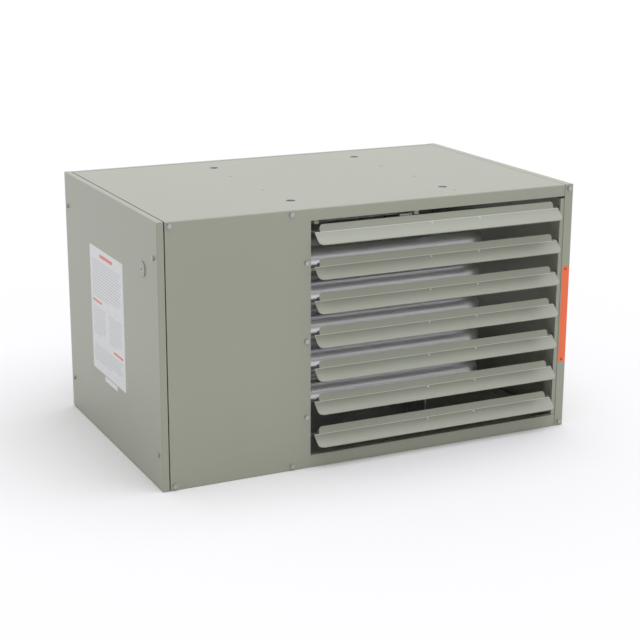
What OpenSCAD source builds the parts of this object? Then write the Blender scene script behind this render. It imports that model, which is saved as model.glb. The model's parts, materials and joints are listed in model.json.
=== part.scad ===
// Low-profile gas unit heater with a propeller fan, seven hand-set louvers
// and five serpentine heat exchanger tubes.
// Millimetres. The louvers face -Y, +Z is up, and the origin is the centre of the base.

/* [Casing] */
// Width of the casing, left to right
casing_w = 794; // [780:1:900]
// Depth of the casing, front to rear
casing_d = 500; // [490:1:560]
// Height of the casing
casing_h = 457; // [450:1:520]
// Thickness of the casing's steel sheet
sheet = 1.2; // [0.9:0.1:1.6]
// Outside radius of the casing's bends
bend_r = 2.6; // [2:0.1:4]
// Width of the access panel's turned edges
left_rim = 11.5; // [10:0.5:14]
// Width of the right side panel's turned edges
right_rim = 18; // [16:0.5:22]
// Width of the rear panel's turned edges
rear_rim = 12; // [10:0.5:16]
// Gap round the access panel
seam = 2; // [1.5:0.1:3]
// Gap between the front sheet and the right side panel
right_seam = 1; // [0.6:0.1:2]
// Distance from the casing's left face to the partition
control_w = 236; // [232:1:250]

/* [Discharge opening] */
// Distance from the control compartment to the discharge opening
opening_from_control = 35; // [30:1:50]
// Height of the strip above the opening
strip_top_h = 21; // [20:1:26]
// Height of the strip below the opening
strip_bottom_h = 22; // [20:1:26]
// Depth of the strips' turned-back edges
strip_return = 9; // [6:0.5:12]

/* [Louvers] */
// Number of louvers
louver_count = 7; // [7]
// Share of the casing's height at the lowest louver's fold
louver_first_share = 0.127; // [0.12:0.001:0.135]
// Share of the casing's height from one louver to the next
louver_step_share = 0.1302; // [0.127:0.0001:0.132]
// Width of the sloping lower leaf
louver_leaf = 26; // [22:0.5:30]
// Slope of the lower leaf below the horizontal, in degrees
louver_slope = 40; // [34:0.5:46]
// Width of the upper leaf
louver_upper = 13; // [11:0.5:14]
// Slope of the upper leaf above the horizontal, in degrees
louver_upper_slope = 76; // [66:1:82]
// Thickness of the louver's sheet
louver_sheet = 1; // [0.8:0.1:1.2]
// Radius of the lower leaf's free corners
louver_corner_r = 9; // [6:1:11]
// Gap from the opening's left edge to the louvers
louver_gap_left = 7; // [6:0.5:9]
// Gap from the louvers to the right side panel's turned edge
louver_gap_right = 14; // [13:0.5:18]
// Diameter of the louver's pivot pins
pivot_d = 4; // [3:0.5:5]

/* [Heat exchanger] */
// Number of tubes, one above the other
tube_count = 5; // [5]
// Share of the casing's height at the middle tube's centre
tube_middle_share = 0.497; // [0.49:0.001:0.505]
// Share of the casing's height from one tube to the next
tube_step_share = 0.1335; // [0.13:0.0005:0.136]
// Outside diameter of a tube
tube_d = 44; // [38:1:46]
// Wall of a tube
tube_wall = 1.2; // [1:0.1:1.6]
// Distance between a tube's neighbouring passes
pass_spacing = 89; // [84:1:92]
// Distance from the casing's front to the front passes' centre
tube_from_front = 85; // [80:1:90]
// Distance from the casing's right face to the right-hand bends' centres
bends_from_right = 189; // [180:1:200]
// Distance from the partition to the left-hand bends' centres
left_bend_from_partition = 85; // [80:1:95]

/* [Fan] */
// Diameter over the propeller's blades
fan_d = 356; // [330:2:360]
// Number of blades
blade_count = 4; // [4]
// Diameter of the round orifice in the rear panel
orifice_d = 372; // [366:2:384]
// Diameter of the guard's outer ring
guard_d = 428; // [416:2:436]
// Reach of the guard behind the rear panel
guard_reach = 70; // [64:1:80]
// Number of wire rings in the guard
guard_rings = 10; // [8:1:11]
// Number of ribs that carry the rings
guard_ribs = 8; // [8]
// Diameter of the guard's wire
guard_wire = 3.4; // [3:0.1:4]
// Diameter of the fan motor
motor_d = 122; // [110:1:130]
// Length of the fan motor's body
motor_l = 78; // [70:1:90]

/* [Burners and gas train] */
// Diameter of a burner's barrel
burner_d = 30; // [26:1:32]
// Length of a burner
burner_l = 118; // [110:1:124]
// Diameter of the gas manifold
manifold_d = 21.3; // [19:0.1:24]
// Diameter of the gas supply pipe
supply_d = 21.3; // [19:0.1:24]

/* [Flue] */
// Outside diameter of the flue collar
flue_d = 100; // [90:1:104]
// Reach of the flue collar behind the rear panel
flue_reach = 45; // [35:1:60]
// Outside diameter of the draft inducer's scroll
scroll_d = 128; // [120:1:134]
// Width of the draft inducer's scroll
scroll_w = 48; // [44:1:52]

/* [Hanging points] */
// Diameter of the hanging holes
hanger_hole_d = 16; // [14:0.5:18]
// Distance between the hanging holes, left to right
hanger_span_x = 297; // [280:1:310]
// Distance between the hanging holes, front to rear
hanger_span_y = 346; // [320:1:356]
// Distance from the control compartment to the left hanging holes
hanger_from_control = 32; // [30:1:50]
// Distance from the casing's front to the front hanging holes
hanger_from_front = 74; // [66:1:84]

/* [Hidden] */
NODES = concat(
    ["front_and_top_sheet", "left_access_panel", "right_side_panel", "bottom_panel", "rear_panel",
     "fan_orifice_ring", "partition_panel", "hanger_rail_left", "hanger_rail_right", "hanger_nuts",
     "louver_bracket_left", "louver_bracket_right", "louver_pivot_pins", "louver_springs"],
    [for (i = [1 : louver_count]) str("louver_", i)],
    [for (i = [1 : tube_count]) str("heat_tube_", i)],
    ["tube_support", "flue_collector_box", "burner_rack"],
    [for (i = [1 : tube_count]) str("burner_", i)],
    ["gas_manifold", "burner_orifices", "gas_valve", "gas_valve_knob", "gas_supply_pipe",
     "spark_igniter", "flame_sensor", "rollout_switch", "inducer_housing", "inducer_wheel",
     "inducer_motor", "flue_collar", "pressure_switch", "pressure_hose", "control_board",
     "transformer", "junction_box", "limit_switch", "limit_sensor_coil", "fan_motor",
     "fan_propeller", "motor_mount", "fan_guard", "fan_guard_side",
     "casing_screws"]);
$fn = 64;
echo(nodes = len(NODES));

// Overrun of every cut
over = 1;
// Radial running clearance of pins and shafts
run_clear = 0.05;
// Clearance of a screw or pipe in its hole
hole_clear = 0.2;
// Gap between the ends of pieces that move against each other
end_gap = 0.3;

left = -casing_w / 2;
right = casing_w / 2;
front = -casing_d / 2;
rear = casing_d / 2;
top = casing_h;
// Edges of the front and top sheet
sheet_left = left + left_rim + seam;
sheet_right = right - right_rim - right_seam;
sheet_rear = rear - rear_rim - seam;
opening_left = left + control_w + opening_from_control;
opening_mid = (opening_left + sheet_right) / 2;
opening_top = top - strip_top_h;
// Partition: its flanges reach towards the louvers
partition_flange = 14;
partition_x = left + control_w - partition_flange / 2;
partition_right = partition_x + sheet;
// Hidden joggled edges that the side and rear panels are screwed to
joggle_depth = 24;
joggle_short = 4;
joggle_from_corner = 30;

// Screws of the casing
screw_shank_d = 4;
screw_shank_l = 6;
screw_hex = 7;
screw_hex_h = 2.2;
screw_washer_d = 9.4;
screw_washer_h = 0.9;
// Distance of a screw from the edge beside it
screw_edge = 7.5;
// Distance of the side screws behind the casing's front
side_screw_in = 17;
// Distance of the side screws from the casing's top and base
side_screw_end = 61;
// Distance between the screws of the left louver bracket
bracket_screw_pitch = 136;
// Shares of the depth where the right side panel is screwed along its top
right_screw_shares = [0.11, 0.39, 0.66, 0.94];
// Shares of the width where the rear panel is screwed along its top
rear_screw_shares = [0.08, 0.38, 0.96];

front_screws = concat(
    [for (x = [sheet_left + screw_edge, partition_x + partition_flange / 2],
          z = [screw_edge, top - screw_edge]) [x, front, z]],
    [for (z = [screw_edge, top - screw_edge]) [right - right_rim / 2, front, z]],
    [for (k = [-1 : 1])
        [opening_left - screw_edge, front, top / 2 + k * bracket_screw_pitch]]);
left_screws = [for (y = [front + side_screw_in, rear - side_screw_in],
                    z = [side_screw_end, top - side_screw_end]) [left, y, z]];
right_screws = [for (s = right_screw_shares) [right, front + s * casing_d, top - screw_edge]];
rear_screws = [for (s = rear_screw_shares)
    [sheet_left + s * (sheet_right - sheet_left), rear, top - screw_edge]];

// A 2D section in (Y, Z), drawn along +X from x0 for a length
module along_x(x0, length) {
    translate([x0, 0, 0]) rotate([90, 0, 90]) linear_extrude(length) children();
}

// A 2D section in (X, Z), drawn along +Y from y0 for a length
module along_y(y0, length) {
    translate([0, y0 + length, 0]) rotate([90, 0, 0]) linear_extrude(length) children();
}

// A cylinder along X, Y or Z from a point
module rod_x(p, d, length) {
    translate(p) rotate([0, 90, 0]) cylinder(d = d, h = length);
}

module rod_y(p, d, length) {
    translate(p) rotate([-90, 0, 0]) cylinder(d = d, h = length);
}

module rod_z(p, d, length) {
    translate(p) cylinder(d = d, h = length);
}

// A box given by its lowest and highest corners
module block(low, high) {
    translate(low) cube(high - low);
}

// What a rounded corner takes off; it meets the edges a little past the tangent by ease
module corner_cut(radius, ease = 0) {
    centre = radius - ease;
    difference() {
        translate([-over, -over]) square(radius + over);
        translate([centre, centre]) circle(radius);
    }
}

// A rectangle with its own radius at each corner: low-left, low-right, high-right, high-left
module outline(low, high, radii) {
    size = high - low;
    corners = [[0, 0], [size[0], 0], size, [0, size[1]]];
    translate(low) difference() {
        square(size);
        for (i = [0 : 3])
            if (radii[i] > 0)
                translate(corners[i])
                    mirror([i == 1 || i == 2 ? 1 : 0, 0])
                        mirror([0, i > 1 ? 1 : 0])
                            corner_cut(radii[i]);
    }
}

// Section of a joggled edge: u runs out from the sheet's edge, v down from its face
module joggle(reach) {
    inner = reach - sheet;
    translate([-sheet, -joggle_depth]) square([sheet, joggle_depth - sheet / 2]);
    translate([-sheet, -joggle_depth]) square([inner + sheet, sheet]);
    translate([inner - sheet, -joggle_depth]) square([sheet, joggle_depth - joggle_short]);
}

// One casing screw: its head stands on the face that dir points out of
module screw(p, turn) {
    translate(p) rotate(turn) {
        cylinder(d = screw_washer_d, h = screw_washer_h);
        cylinder(d = screw_hex / cos(30), h = screw_hex_h + screw_washer_h, $fn = 6);
        translate([0, 0, -screw_shank_l]) cylinder(d = screw_shank_d, h = screw_shank_l);
    }
}

module screw_hole(p, turn) {
    translate(p) rotate(turn)
        translate([0, 0, -screw_shank_l - over])
            cylinder(d = screw_shank_d + hole_clear, h = screw_shank_l + 2 * over);
}

turn_front = [90, 0, 0];
turn_rear = [-90, 0, 0];
turn_left = [0, -90, 0];
turn_right = [0, 90, 0];

module screw_holes() {
    for (p = front_screws) screw_hole(p, turn_front);
    for (p = left_screws) screw_hole(p, turn_left);
    for (p = right_screws) screw_hole(p, turn_right);
    for (p = rear_screws) screw_hole(p, turn_rear);
}

module casing_screws() {
    color("gainsboro") {
        for (p = front_screws) screw(p, turn_front);
        for (p = left_screws) screw(p, turn_left);
        for (p = right_screws) screw(p, turn_right);
        for (p = rear_screws) screw(p, turn_rear);
    }
}

hanger_left = left + control_w + hanger_from_control;
hanger_x = [hanger_left, hanger_left + hanger_span_x];
hanger_y = [front + hanger_from_front, front + hanger_from_front + hanger_span_y];

// The front and the top are one bent sheet, with the discharge opening cut in it
module front_and_top_sheet() {
    rim_down = 14;
    color("#a5a896") difference() {
        union() {
            along_x(sheet_left, sheet_right - sheet_left) difference() {
                outline([front, 0], [sheet_rear, top], [0, 0, 0, bend_r]);
                outline([front + sheet, -over], [sheet_rear + over, top - sheet],
                        [0, 0, 0, bend_r - sheet]);
            }
            // Left edge of the top turned down
            block([sheet_left, front + joggle_depth, top - rim_down],
                  [sheet_left + sheet, sheet_rear, top - sheet / 2]);
            // Joggled edges under the access panel, the right side panel and the rear panel
            translate([0, 0, joggle_from_corner])
                linear_extrude(top - 2 * joggle_from_corner)
                    translate([sheet_left, front]) mirror([1, 0]) mirror([0, 1])
                        joggle(left_rim + seam);
            along_y(front + joggle_from_corner, sheet_rear - front - 2 * joggle_from_corner)
                translate([sheet_right, top]) joggle(right_rim + right_seam);
            along_x(sheet_left + joggle_from_corner,
                    sheet_right - sheet_left - 2 * joggle_from_corner)
                translate([sheet_rear, top]) joggle(rear_rim + seam);
            // Turned-back edges of the two strips
            block([opening_left, front + sheet / 2, opening_top],
                  [sheet_right, front + strip_return, opening_top + sheet]);
            block([opening_left, front + sheet / 2, strip_bottom_h - sheet],
                  [sheet_right, front + strip_return, strip_bottom_h]);
        }
        block([opening_left, front - over, strip_bottom_h],
              [right + over, front + sheet + over, opening_top]);
        for (x = hanger_x, y = hanger_y)
            translate([x, y, top - sheet - over]) cylinder(d = hanger_hole_d, h = sheet + 2 * over);
        screw_holes();
    }
}

port_from_front = 72;
port_from_top = 91;
port_y = front + port_from_front;
port_z = top - port_from_top;
port_d = 27;
port_hole_d = 8;
port_rise = 1.6;
panel_corner_r = 10;

// Outline of a side panel in (Y, Z)
module side_outline(inset) {
    outline([front + inset, inset], [rear - inset, top - inset],
            [0, panel_corner_r - inset, 0, 0]);
}

// Bends of a side panel's turned edges, seen from above and from the front
module side_bends(x0, x1, radii_above, radii_front) {
    intersection() {
        linear_extrude(top) outline([x0, front], [x1, rear], radii_above);
        along_y(front, casing_d) outline([x0, 0], [x1, top], radii_front);
    }
}

module left_access_panel() {
    color("#999a92") difference() {
        union() {
            difference() {
                intersection() {
                    along_x(left, left_rim) side_outline(0);
                    side_bends(left, left + left_rim + over, [bend_r, 0, 0, bend_r],
                               [bend_r, 0, 0, bend_r]);
                }
                along_x(left + sheet, left_rim) side_outline(sheet);
            }
            rod_x([left - port_rise, port_y, port_z], port_d, port_rise + sheet / 2);
        }
        rod_x([left - port_rise - over, port_y, port_z], port_hole_d,
              port_rise + sheet + 2 * over);
        rod_x([left - port_rise + sheet, port_y, port_z], port_d - 2 * sheet, port_rise + over);
        screw_holes();
    }
}

module right_side_panel() {
    color("#999a92") difference() {
        intersection() {
            along_x(right - right_rim, right_rim) side_outline(0);
            side_bends(right - right_rim - over, right, [0, bend_r, bend_r, 0],
                       [0, bend_r, bend_r, 0]);
        }
        along_x(right - right_rim - over, right_rim + over - sheet) side_outline(sheet);
        screw_holes();
    }
}

bottom_rear = rear - rear_rim;
bottom_flange = 16;

module bottom_panel() {
    color("#8f9183") difference() {
        union() {
            block([sheet_left, front + sheet, 0], [sheet_right, bottom_rear, sheet]);
            block([sheet_left, front + sheet, sheet / 2],
                  [sheet_right, front + 2 * sheet, bottom_flange]);
            for (x = [sheet_left, sheet_right - sheet])
                block([x, front + sheet, sheet / 2], [x + sheet, bottom_rear, bottom_flange]);
        }
        screw_holes();
    }
}

fan_x = opening_mid;
fan_z = casing_h / 2;
lip_r = 12;
lip_flange = 6;
lip_straight = 1;
tube_pitch = tube_step_share * casing_h;
tube_mid_z = tube_middle_share * casing_h;
tube_z = [for (i = [0 : tube_count - 1]) tube_mid_z + (i - (tube_count - 1) / 2) * tube_pitch];
pass_y = [for (k = [0 : 3]) front + tube_from_front + k * pass_spacing];
tube_end_x = right - bends_from_right;

// Flue: collector on the partition, inducer on the collector, collar through the rear panel
collector_depth = 40;
collector_margin = 28;
collector_left = partition_x - collector_depth;
scroll_x = collector_left - scroll_w;
scroll_mid_x = collector_left - scroll_w / 2;
spout_h = 42;
flue_z = tube_mid_z + scroll_d / 2 - spout_h / 2;
spout_from_rear = 54;
spout_end_y = rear - spout_from_rear;
// Burners stand off the partition, and the gas line runs behind their mouths
burner_gap = 12;
burner_right = partition_x - burner_gap;
burner_left = burner_right - burner_l;
gas_from_burners = 18;
gas_x = burner_left - gas_from_burners;
gas_z = 62;
supply_reach = 30;
thread_depth = 0.35;
thread_start = 2;
// Junction box inside the rear panel
junction_w = 92;
junction_h = 84;
junction_d = 58;
junction_from_left = 16;
junction_from_top = 38;
junction_left = left + junction_from_left;
junction_bottom = top - junction_from_top - junction_h;
knockout_d = 22.2;
knockout_x = junction_left + junction_w / 2;
knockout_z = junction_bottom + junction_h / 2;
// Combustion air slots in the rear panel
slot_count = 6;
slot_l = 64;
slot_h = 5;
slot_pitch = 13;
slot_from_partition = 22;
slot_left = partition_x - slot_l - slot_from_partition;
slot_first_z = 62;

module rear_panel() {
    color("#999a92") difference() {
        union() {
            difference() {
                along_x(sheet_left, sheet_right - sheet_left) difference() {
                    outline([rear - rear_rim, 0], [rear, top], [0, bend_r, bend_r, 0]);
                    outline([rear - rear_rim - over, sheet], [rear - sheet, top - sheet],
                            [0, 0, 0, 0]);
                }
                rod_y([fan_x, rear - sheet - over, fan_z], orifice_d + 2 * lip_r,
                      sheet + 2 * over);
            }
            translate([0, 0, joggle_from_corner])
                linear_extrude(top - 2 * joggle_from_corner)
                    translate([sheet_left, rear]) mirror([1, 0]) joggle(left_rim + seam);
        }
        rod_y([scroll_mid_x, rear - sheet - over, flue_z], flue_d + 2 * hole_clear,
              sheet + 2 * over);
        rod_y([gas_x, rear - sheet - over, gas_z], supply_d + 2 * hole_clear, sheet + 2 * over);
        rod_y([knockout_x, rear - sheet - over, knockout_z], knockout_d, sheet + 2 * over);
        for (i = [0 : slot_count - 1])
            translate([slot_left, rear - sheet - over, slot_first_z + i * slot_pitch]) {
                cube([slot_l, sheet + 2 * over, slot_h]);
            }
        screw_holes();
    }
}

// The spun ring that guides the air into the fan: a flange inside the panel and a rolled lip
module fan_orifice_ring() {
    r = orifice_d / 2;
    flange_r = r + lip_r + lip_flange;
    color("silver") translate([fan_x, rear - sheet, fan_z]) rotate([90, 0, 0])
        rotate_extrude() difference() {
            outline([r, 0], [flange_r, lip_r + lip_straight], [lip_r, 0, 0, 0]);
            outline([r + sheet, sheet], [flange_r + over, lip_r + lip_straight + over],
                    [lip_r - sheet, 0, 0, 0]);
        }
}

// The wall between the control compartment and the heat exchanger
module partition_panel() {
    low = sheet;
    high = top - sheet;
    front_y = front + sheet;
    rear_y = rear - sheet;
    color("silver") difference() {
        union() {
            block([partition_x, front_y, low], [partition_right, rear_y, high]);
            for (y = [front_y, rear_y - sheet])
                block([partition_x, y, bottom_flange + sheet],
                      [partition_x + partition_flange, y + sheet, top - joggle_depth - sheet]);
            for (z = [low, high - sheet])
                block([partition_x, front_y + bottom_flange, z],
                      [partition_x + partition_flange, rear_y - joggle_depth, z + sheet]);
        }
        for (z = tube_z, y = [pass_y[0], pass_y[3]])
            rod_x([partition_x - over, y, z], tube_d + hole_clear, sheet + 2 * over);
        rod_x([partition_x - over, sensor_y, sensor_z + sensor_r], sensor_wire + 2 * hole_clear,
              sheet + 2 * over);
        // Notches that clear the bottom panel's flange and the top sheet's joggled edge
        block([partition_x - over, front_y - over, low - over],
              [partition_x + partition_flange + over, front_y + sheet, bottom_flange]);
        block([partition_x - over, sheet_rear - 2 * sheet, top - joggle_depth - sheet],
              [partition_x + partition_flange + over, rear_y + over, high + over]);
        // Corner that clears the front sheet's bend
        block([partition_x - over, front_y - over, high - bend_r],
              [partition_x + partition_flange + over, front_y + bend_r, high + over]);
        screw_holes();
    }
}

rail_w = 40;
rail_h = 18;
rail_sheet = 1.8;
nut_h = 11;

// A channel under the top sheet, one per pair of hanging holes
module hanger_rail(x) {
    rail_front = front + bend_r + hole_clear;
    rail_rear = sheet_rear - 2 * sheet;
    color("silver") difference() {
        block([x - rail_w / 2, rail_front, top - sheet - rail_h],
              [x + rail_w / 2, rail_rear, top - sheet]);
        block([x - rail_w / 2 + rail_sheet, rail_front - over, top - sheet - rail_h - over],
              [x + rail_w / 2 - rail_sheet, rail_rear + over, top - sheet - rail_sheet]);
        for (y = hanger_y)
            rod_z([x, y, top - sheet - rail_sheet - over], hanger_hole_d,
                  rail_sheet + 2 * over);
    }
}

module hanger_rail_left() hanger_rail(hanger_x[0]);
module hanger_rail_right() hanger_rail(hanger_x[1]);

// Weld nuts under the hanging holes, for the hanging rods
module hanger_nuts() {
    rod_bore_d = 10.2;
    across = 19;
    color("silver") for (x = hanger_x, y = hanger_y) difference() {
        translate([x, y, top - sheet - rail_sheet - nut_h])
            cylinder(d = across / cos(30), h = nut_h, $fn = 6);
        rod_z([x, y, top - sheet - rail_sheet - nut_h - over], rod_bore_d, nut_h + 2 * over);
    }
}

// Louvers: the fold lies on the casing's front face, and the pivot just behind it
louver_left = opening_left + louver_gap_left;
louver_right = sheet_right + right_seam - louver_gap_right;
louver_z = [for (i = [0 : louver_count - 1])
    (louver_first_share + i * louver_step_share) * casing_h];
pivot_in = 7;
pivot_y = front + pivot_in;
ear_r = 5.6;
ear_reach = 6;
ear_neck_share = 0.9;
// The upper leaf ends short of the lower one, and the ears are bent back from its ends
ear_in = 10;
ear_step = 0.2;
ear_foot = 2;
ear_x = [louver_left + ear_in + ear_step, louver_right - ear_in - ear_step - louver_sheet];
hem_w = 5;
upper_corner_r = 6;
corner_ease = 0.05;
relief_d = 3;
relief_in = 8;
// Brackets that carry the pivots
bracket_from_opening = 3;
bracket_from_louvers = 6;
bracket_left_x = opening_left - bracket_from_opening;
bracket_right_x = louver_right + bracket_from_louvers;
bracket_depth = 26;
bracket_flange = 19;
pin_head_d = 8;
pin_head_h = 1.6;
pin_past_ear = 2.4;

function toward(angle, reach) = [reach * cos(angle), reach * sin(angle)];

module louver(z) {
    half_turn = (louver_upper_slope - louver_slope) / 2;
    // The leaves' rear sides meet behind the fold
    fold_rear = toward(louver_slope + half_turn - 90, louver_sheet / cos(half_turn));
    tip = toward(louver_slope + 180, louver_leaf);
    hem_inner = toward(louver_slope + 180, louver_leaf - hem_w);
    free_edge = toward(louver_upper_slope, louver_upper);
    lower_side = toward(louver_slope - 90, louver_sheet);
    upper_side = toward(louver_upper_slope - 90, louver_sheet);
    pin = [pivot_in, 0];
    ear_half = ear_r * ear_neck_share;
    color("#a8ab9e") difference() {
        union() {
            // Two leaves, and a folded hem behind the lower leaf's free edge
            along_x(louver_left, louver_right - louver_left) translate([front, z])
                polygon([tip, [0, 0], free_edge, free_edge + upper_side, fold_rear,
                         hem_inner + lower_side, hem_inner + 2 * lower_side,
                         tip + 2 * lower_side]);
            // Ears, turned back at both ends, that take the pivot pins
            for (x = ear_x)
                along_x(x, louver_sheet) translate([front, z]) {
                    polygon([toward(louver_upper_slope, ear_foot) + upper_side / 2,
                             pin + [0, -ear_half], pin + [0, ear_half],
                             toward(louver_upper_slope, ear_reach) + upper_side / 2]);
                    translate(pin) circle(ear_r);
                }
        }
        for (end = [0, 1])
            translate([end == 0 ? louver_left : louver_right, front, z]) mirror([end, 0, 0]) {
                rotate([louver_slope, 0, 0])
                    translate([0, -louver_leaf, -2 * louver_sheet - over])
                        linear_extrude(2 * louver_sheet + 2 * over)
                            corner_cut(louver_corner_r, corner_ease);
                rotate([louver_upper_slope, 0, 0]) {
                    translate([-over, louver_sheet / 2, -louver_sheet - over])
                        cube([ear_in + over, louver_upper, louver_sheet + 2 * over]);
                    translate([ear_in, louver_upper, -louver_sheet - over]) mirror([0, 1, 0])
                        linear_extrude(louver_sheet + 2 * over)
                            corner_cut(upper_corner_r, corner_ease);
                }
                // Relief hole in the fold, beside the ear
                rotate([louver_slope + half_turn, 0, 0])
                    translate([relief_in, 0, -2 * louver_sheet])
                        cylinder(d = relief_d, h = 4 * louver_sheet);
            }
        rod_x([louver_left - over, pivot_y, z], pivot_d + 2 * run_clear,
              louver_right - louver_left + 2 * over);
    }
}

module louver_1() louver(louver_z[0]);
module louver_2() louver(louver_z[1]);
module louver_3() louver(louver_z[2]);
module louver_4() louver(louver_z[3]);
module louver_5() louver(louver_z[4]);
module louver_6() louver(louver_z[5]);
module louver_7() louver(louver_z[6]);

// An angle strip behind each end of the louvers, with its flange from one X to another
module louver_bracket(x, flange) {
    low = bottom_flange + sheet;
    high = top - joggle_depth - sheet;
    y0 = front + sheet;
    color("#8f9183") difference() {
        union() {
            block([x, y0 + sheet / 2, low], [x + sheet, y0 + bracket_depth, high]);
            block([flange[0], y0, low], [flange[1], y0 + sheet, high]);
        }
        for (z = louver_z)
            rod_x([x - over, pivot_y, z], pivot_d + hole_clear, sheet + 2 * over);
        screw_holes();
        // Notches for the turned-back edges of the two strips
        for (z = [strip_bottom_h, opening_top + sheet])
            block([opening_left - over, y0 - over, z - sheet - hole_clear],
                  [sheet_right + hole_clear, front + strip_return + hole_clear,
                   z + hole_clear]);
    }
}

module louver_bracket_left()
    louver_bracket(bracket_left_x, [bracket_left_x + sheet - bracket_flange,
                                    bracket_left_x + sheet]);
module louver_bracket_right()
    louver_bracket(bracket_right_x, [bracket_right_x, right - sheet]);

module louver_pivot_pins() {
    color("gainsboro") for (z = louver_z) {
        rod_x([bracket_left_x - pin_head_h, pivot_y, z], pin_head_d, pin_head_h);
        rod_x([bracket_left_x - pin_head_h / 2, pivot_y, z], pivot_d,
              ear_x[0] + louver_sheet + pin_past_ear - bracket_left_x + pin_head_h / 2);
        rod_x([bracket_right_x + sheet, pivot_y, z], pin_head_d, pin_head_h);
        rod_x([ear_x[1] - pin_past_ear, pivot_y, z], pivot_d,
              bracket_right_x + sheet + pin_head_h / 2 - ear_x[1] + pin_past_ear);
    }
}

// A wire wound about a line along X: straight lead, curls, straight lead.
// Each ring is [x, angle round the line, tilt of the wire from the X direction].
curl_rings = 8;
wire_sides = 6;
function coil_rings(x0, lead_in, wound, lead_out, curls, radius, start) =
    let (n = curls * curl_rings,
         lean = atan2(2 * PI * radius * curls, wound))
    concat([[x0, start, 0], [x0 + lead_in, start, lean / 2]],
           [for (i = [1 : n - 1]) [x0 + lead_in + wound * i / n, start + 360 * curls * i / n, lean]],
           [[x0 + lead_in + wound, start + 360 * curls, lean / 2],
            [x0 + lead_in + wound + lead_out, start + 360 * curls, 0]]);
function ring_centre(ring, radius) = [ring[0], radius * cos(ring[1]), radius * sin(ring[1])];
function ring_points(ring, radius, wire) =
    let (out = [0, cos(ring[1]), sin(ring[1])],
         side = [sin(ring[2]), cos(ring[2]) * sin(ring[1]), -cos(ring[2]) * cos(ring[1])])
    [for (k = [0 : wire_sides - 1])
        ring_centre(ring, radius) + wire / 2 * (cos(360 * k / wire_sides) * out
                                                + sin(360 * k / wire_sides) * side)];
function least_gap(rings, radius, wire) =
    min([for (i = [0 : len(rings) - 1], j = [i + curl_rings - 2 : len(rings) - 1])
            if (j < len(rings))
                norm(ring_centre(rings[i], radius) - ring_centre(rings[j], radius)) - wire]);

module wound_wire(rings, radius, wire) {
    last = len(rings) - 1;
    points = [for (ring = rings) each ring_points(ring, radius, wire)];
    walls = [for (i = [0 : last - 1], k = [0 : wire_sides - 1])
        let (a = i * wire_sides + k, b = i * wire_sides + (k + 1) % wire_sides)
        each [[a, a + wire_sides, b], [b, a + wire_sides, b + wire_sides]]];
    ends = [for (k = [1 : wire_sides - 2])
        each [[0, k, k + 1],
              [last * wire_sides, last * wire_sides + k + 1, last * wire_sides + k]]];
    polyhedron(points = points, faces = concat(walls, ends));
}

// Springs on the left pivots that hold each louver where it is set
spring_wire = 0.9;
spring_r = 3.3;
spring_curls = 6;
spring_x = bracket_left_x + sheet;
spring_l = ear_x[0] - end_gap - spring_x;
spring_rings = coil_rings(spring_x, spring_wire, spring_l - 2 * spring_wire, spring_wire,
                          spring_curls, spring_r, 0);
echo(spring_least_gap = least_gap(spring_rings, spring_r, spring_wire));

module louver_springs() {
    color("white") for (z = louver_z)
        translate([0, pivot_y, z]) wound_wire(spring_rings, spring_r, spring_wire);
}

// Limit switch: its capillary runs along the top of the opening and ends in a coil
sensor_wire = 2.6;
sensor_r = 5.4;
sensor_curls = 5;
sensor_pitch = 4.8;
sensor_from_front = 35;
sensor_from_top = 36;
sensor_from_opening = 187;
sensor_y = front + sensor_from_front;
sensor_z = top - sensor_from_top;
sensor_x = opening_left + sensor_from_opening;
sensor_tail = 14;
sensor_lead = sensor_x - partition_x;
sensor_rings = coil_rings(partition_x, sensor_lead, sensor_curls * sensor_pitch, sensor_tail,
                          sensor_curls, sensor_r, 90);
echo(sensor_least_gap = least_gap(sensor_rings, sensor_r, sensor_wire));

module limit_sensor_coil() {
    color("silver") translate([0, sensor_y, sensor_z])
        wound_wire(sensor_rings, sensor_r, sensor_wire);
}

limit_body = [26, 36, 28];
clip_w = 8;
clip_head = 4;
clip_from_left = 25;
clip_x = [opening_left + clip_from_left, sensor_x + sensor_curls * sensor_pitch + sensor_tail / 2];

// The switch on the partition, and two straps that hold its capillary under the top
module limit_switch() {
    line_z = sensor_z + sensor_r;
    color("ivory") difference() {
        union() {
            block([partition_x - limit_body[0], sensor_y - limit_body[1] / 2,
                   line_z - limit_body[2] / 2],
                  [partition_x, sensor_y + limit_body[1] / 2, line_z + limit_body[2] / 2]);
            for (x = clip_x)
                block([x - clip_w / 2, sensor_y - clip_head, line_z - clip_head],
                      [x + clip_w / 2, sensor_y - clip_head + sheet, top - sheet]);
            for (x = clip_x)
                block([x - clip_w / 2, sensor_y - clip_head, line_z - clip_head],
                      [x + clip_w / 2, sensor_y + clip_head, line_z + clip_head]);
        }
        for (x = clip_x)
            rod_x([x - clip_w, sensor_y, line_z], sensor_wire + hole_clear, 2 * clip_w);
    }
}

// Heat exchanger tubes: four passes joined by three half-turn bends
bend_centre = pass_spacing / 2;
left_bend_x = partition_x + left_bend_from_partition;
tube_swage = 5;

module tube_path(d, extra) {
    x0 = partition_x - tube_swage - extra;
    for (k = [0, 3])
        rod_x([x0, pass_y[k], 0], d, tube_end_x - x0);
    for (k = [1, 2])
        rod_x([left_bend_x, pass_y[k], 0], d, tube_end_x - left_bend_x);
    for (k = [0, 2])
        translate([tube_end_x, pass_y[k] + bend_centre, 0]) rotate([0, 0, -90])
            rotate_extrude(angle = 180) translate([bend_centre, 0]) circle(d = d);
    translate([left_bend_x, pass_y[1] + bend_centre, 0]) rotate([0, 0, 90])
        rotate_extrude(angle = 180) translate([bend_centre, 0]) circle(d = d);
}

module heat_tube(z) {
    color("gainsboro") translate([0, 0, z]) difference() {
        tube_path(tube_d, 0);
        tube_path(tube_d - 2 * tube_wall, over);
    }
}

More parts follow.
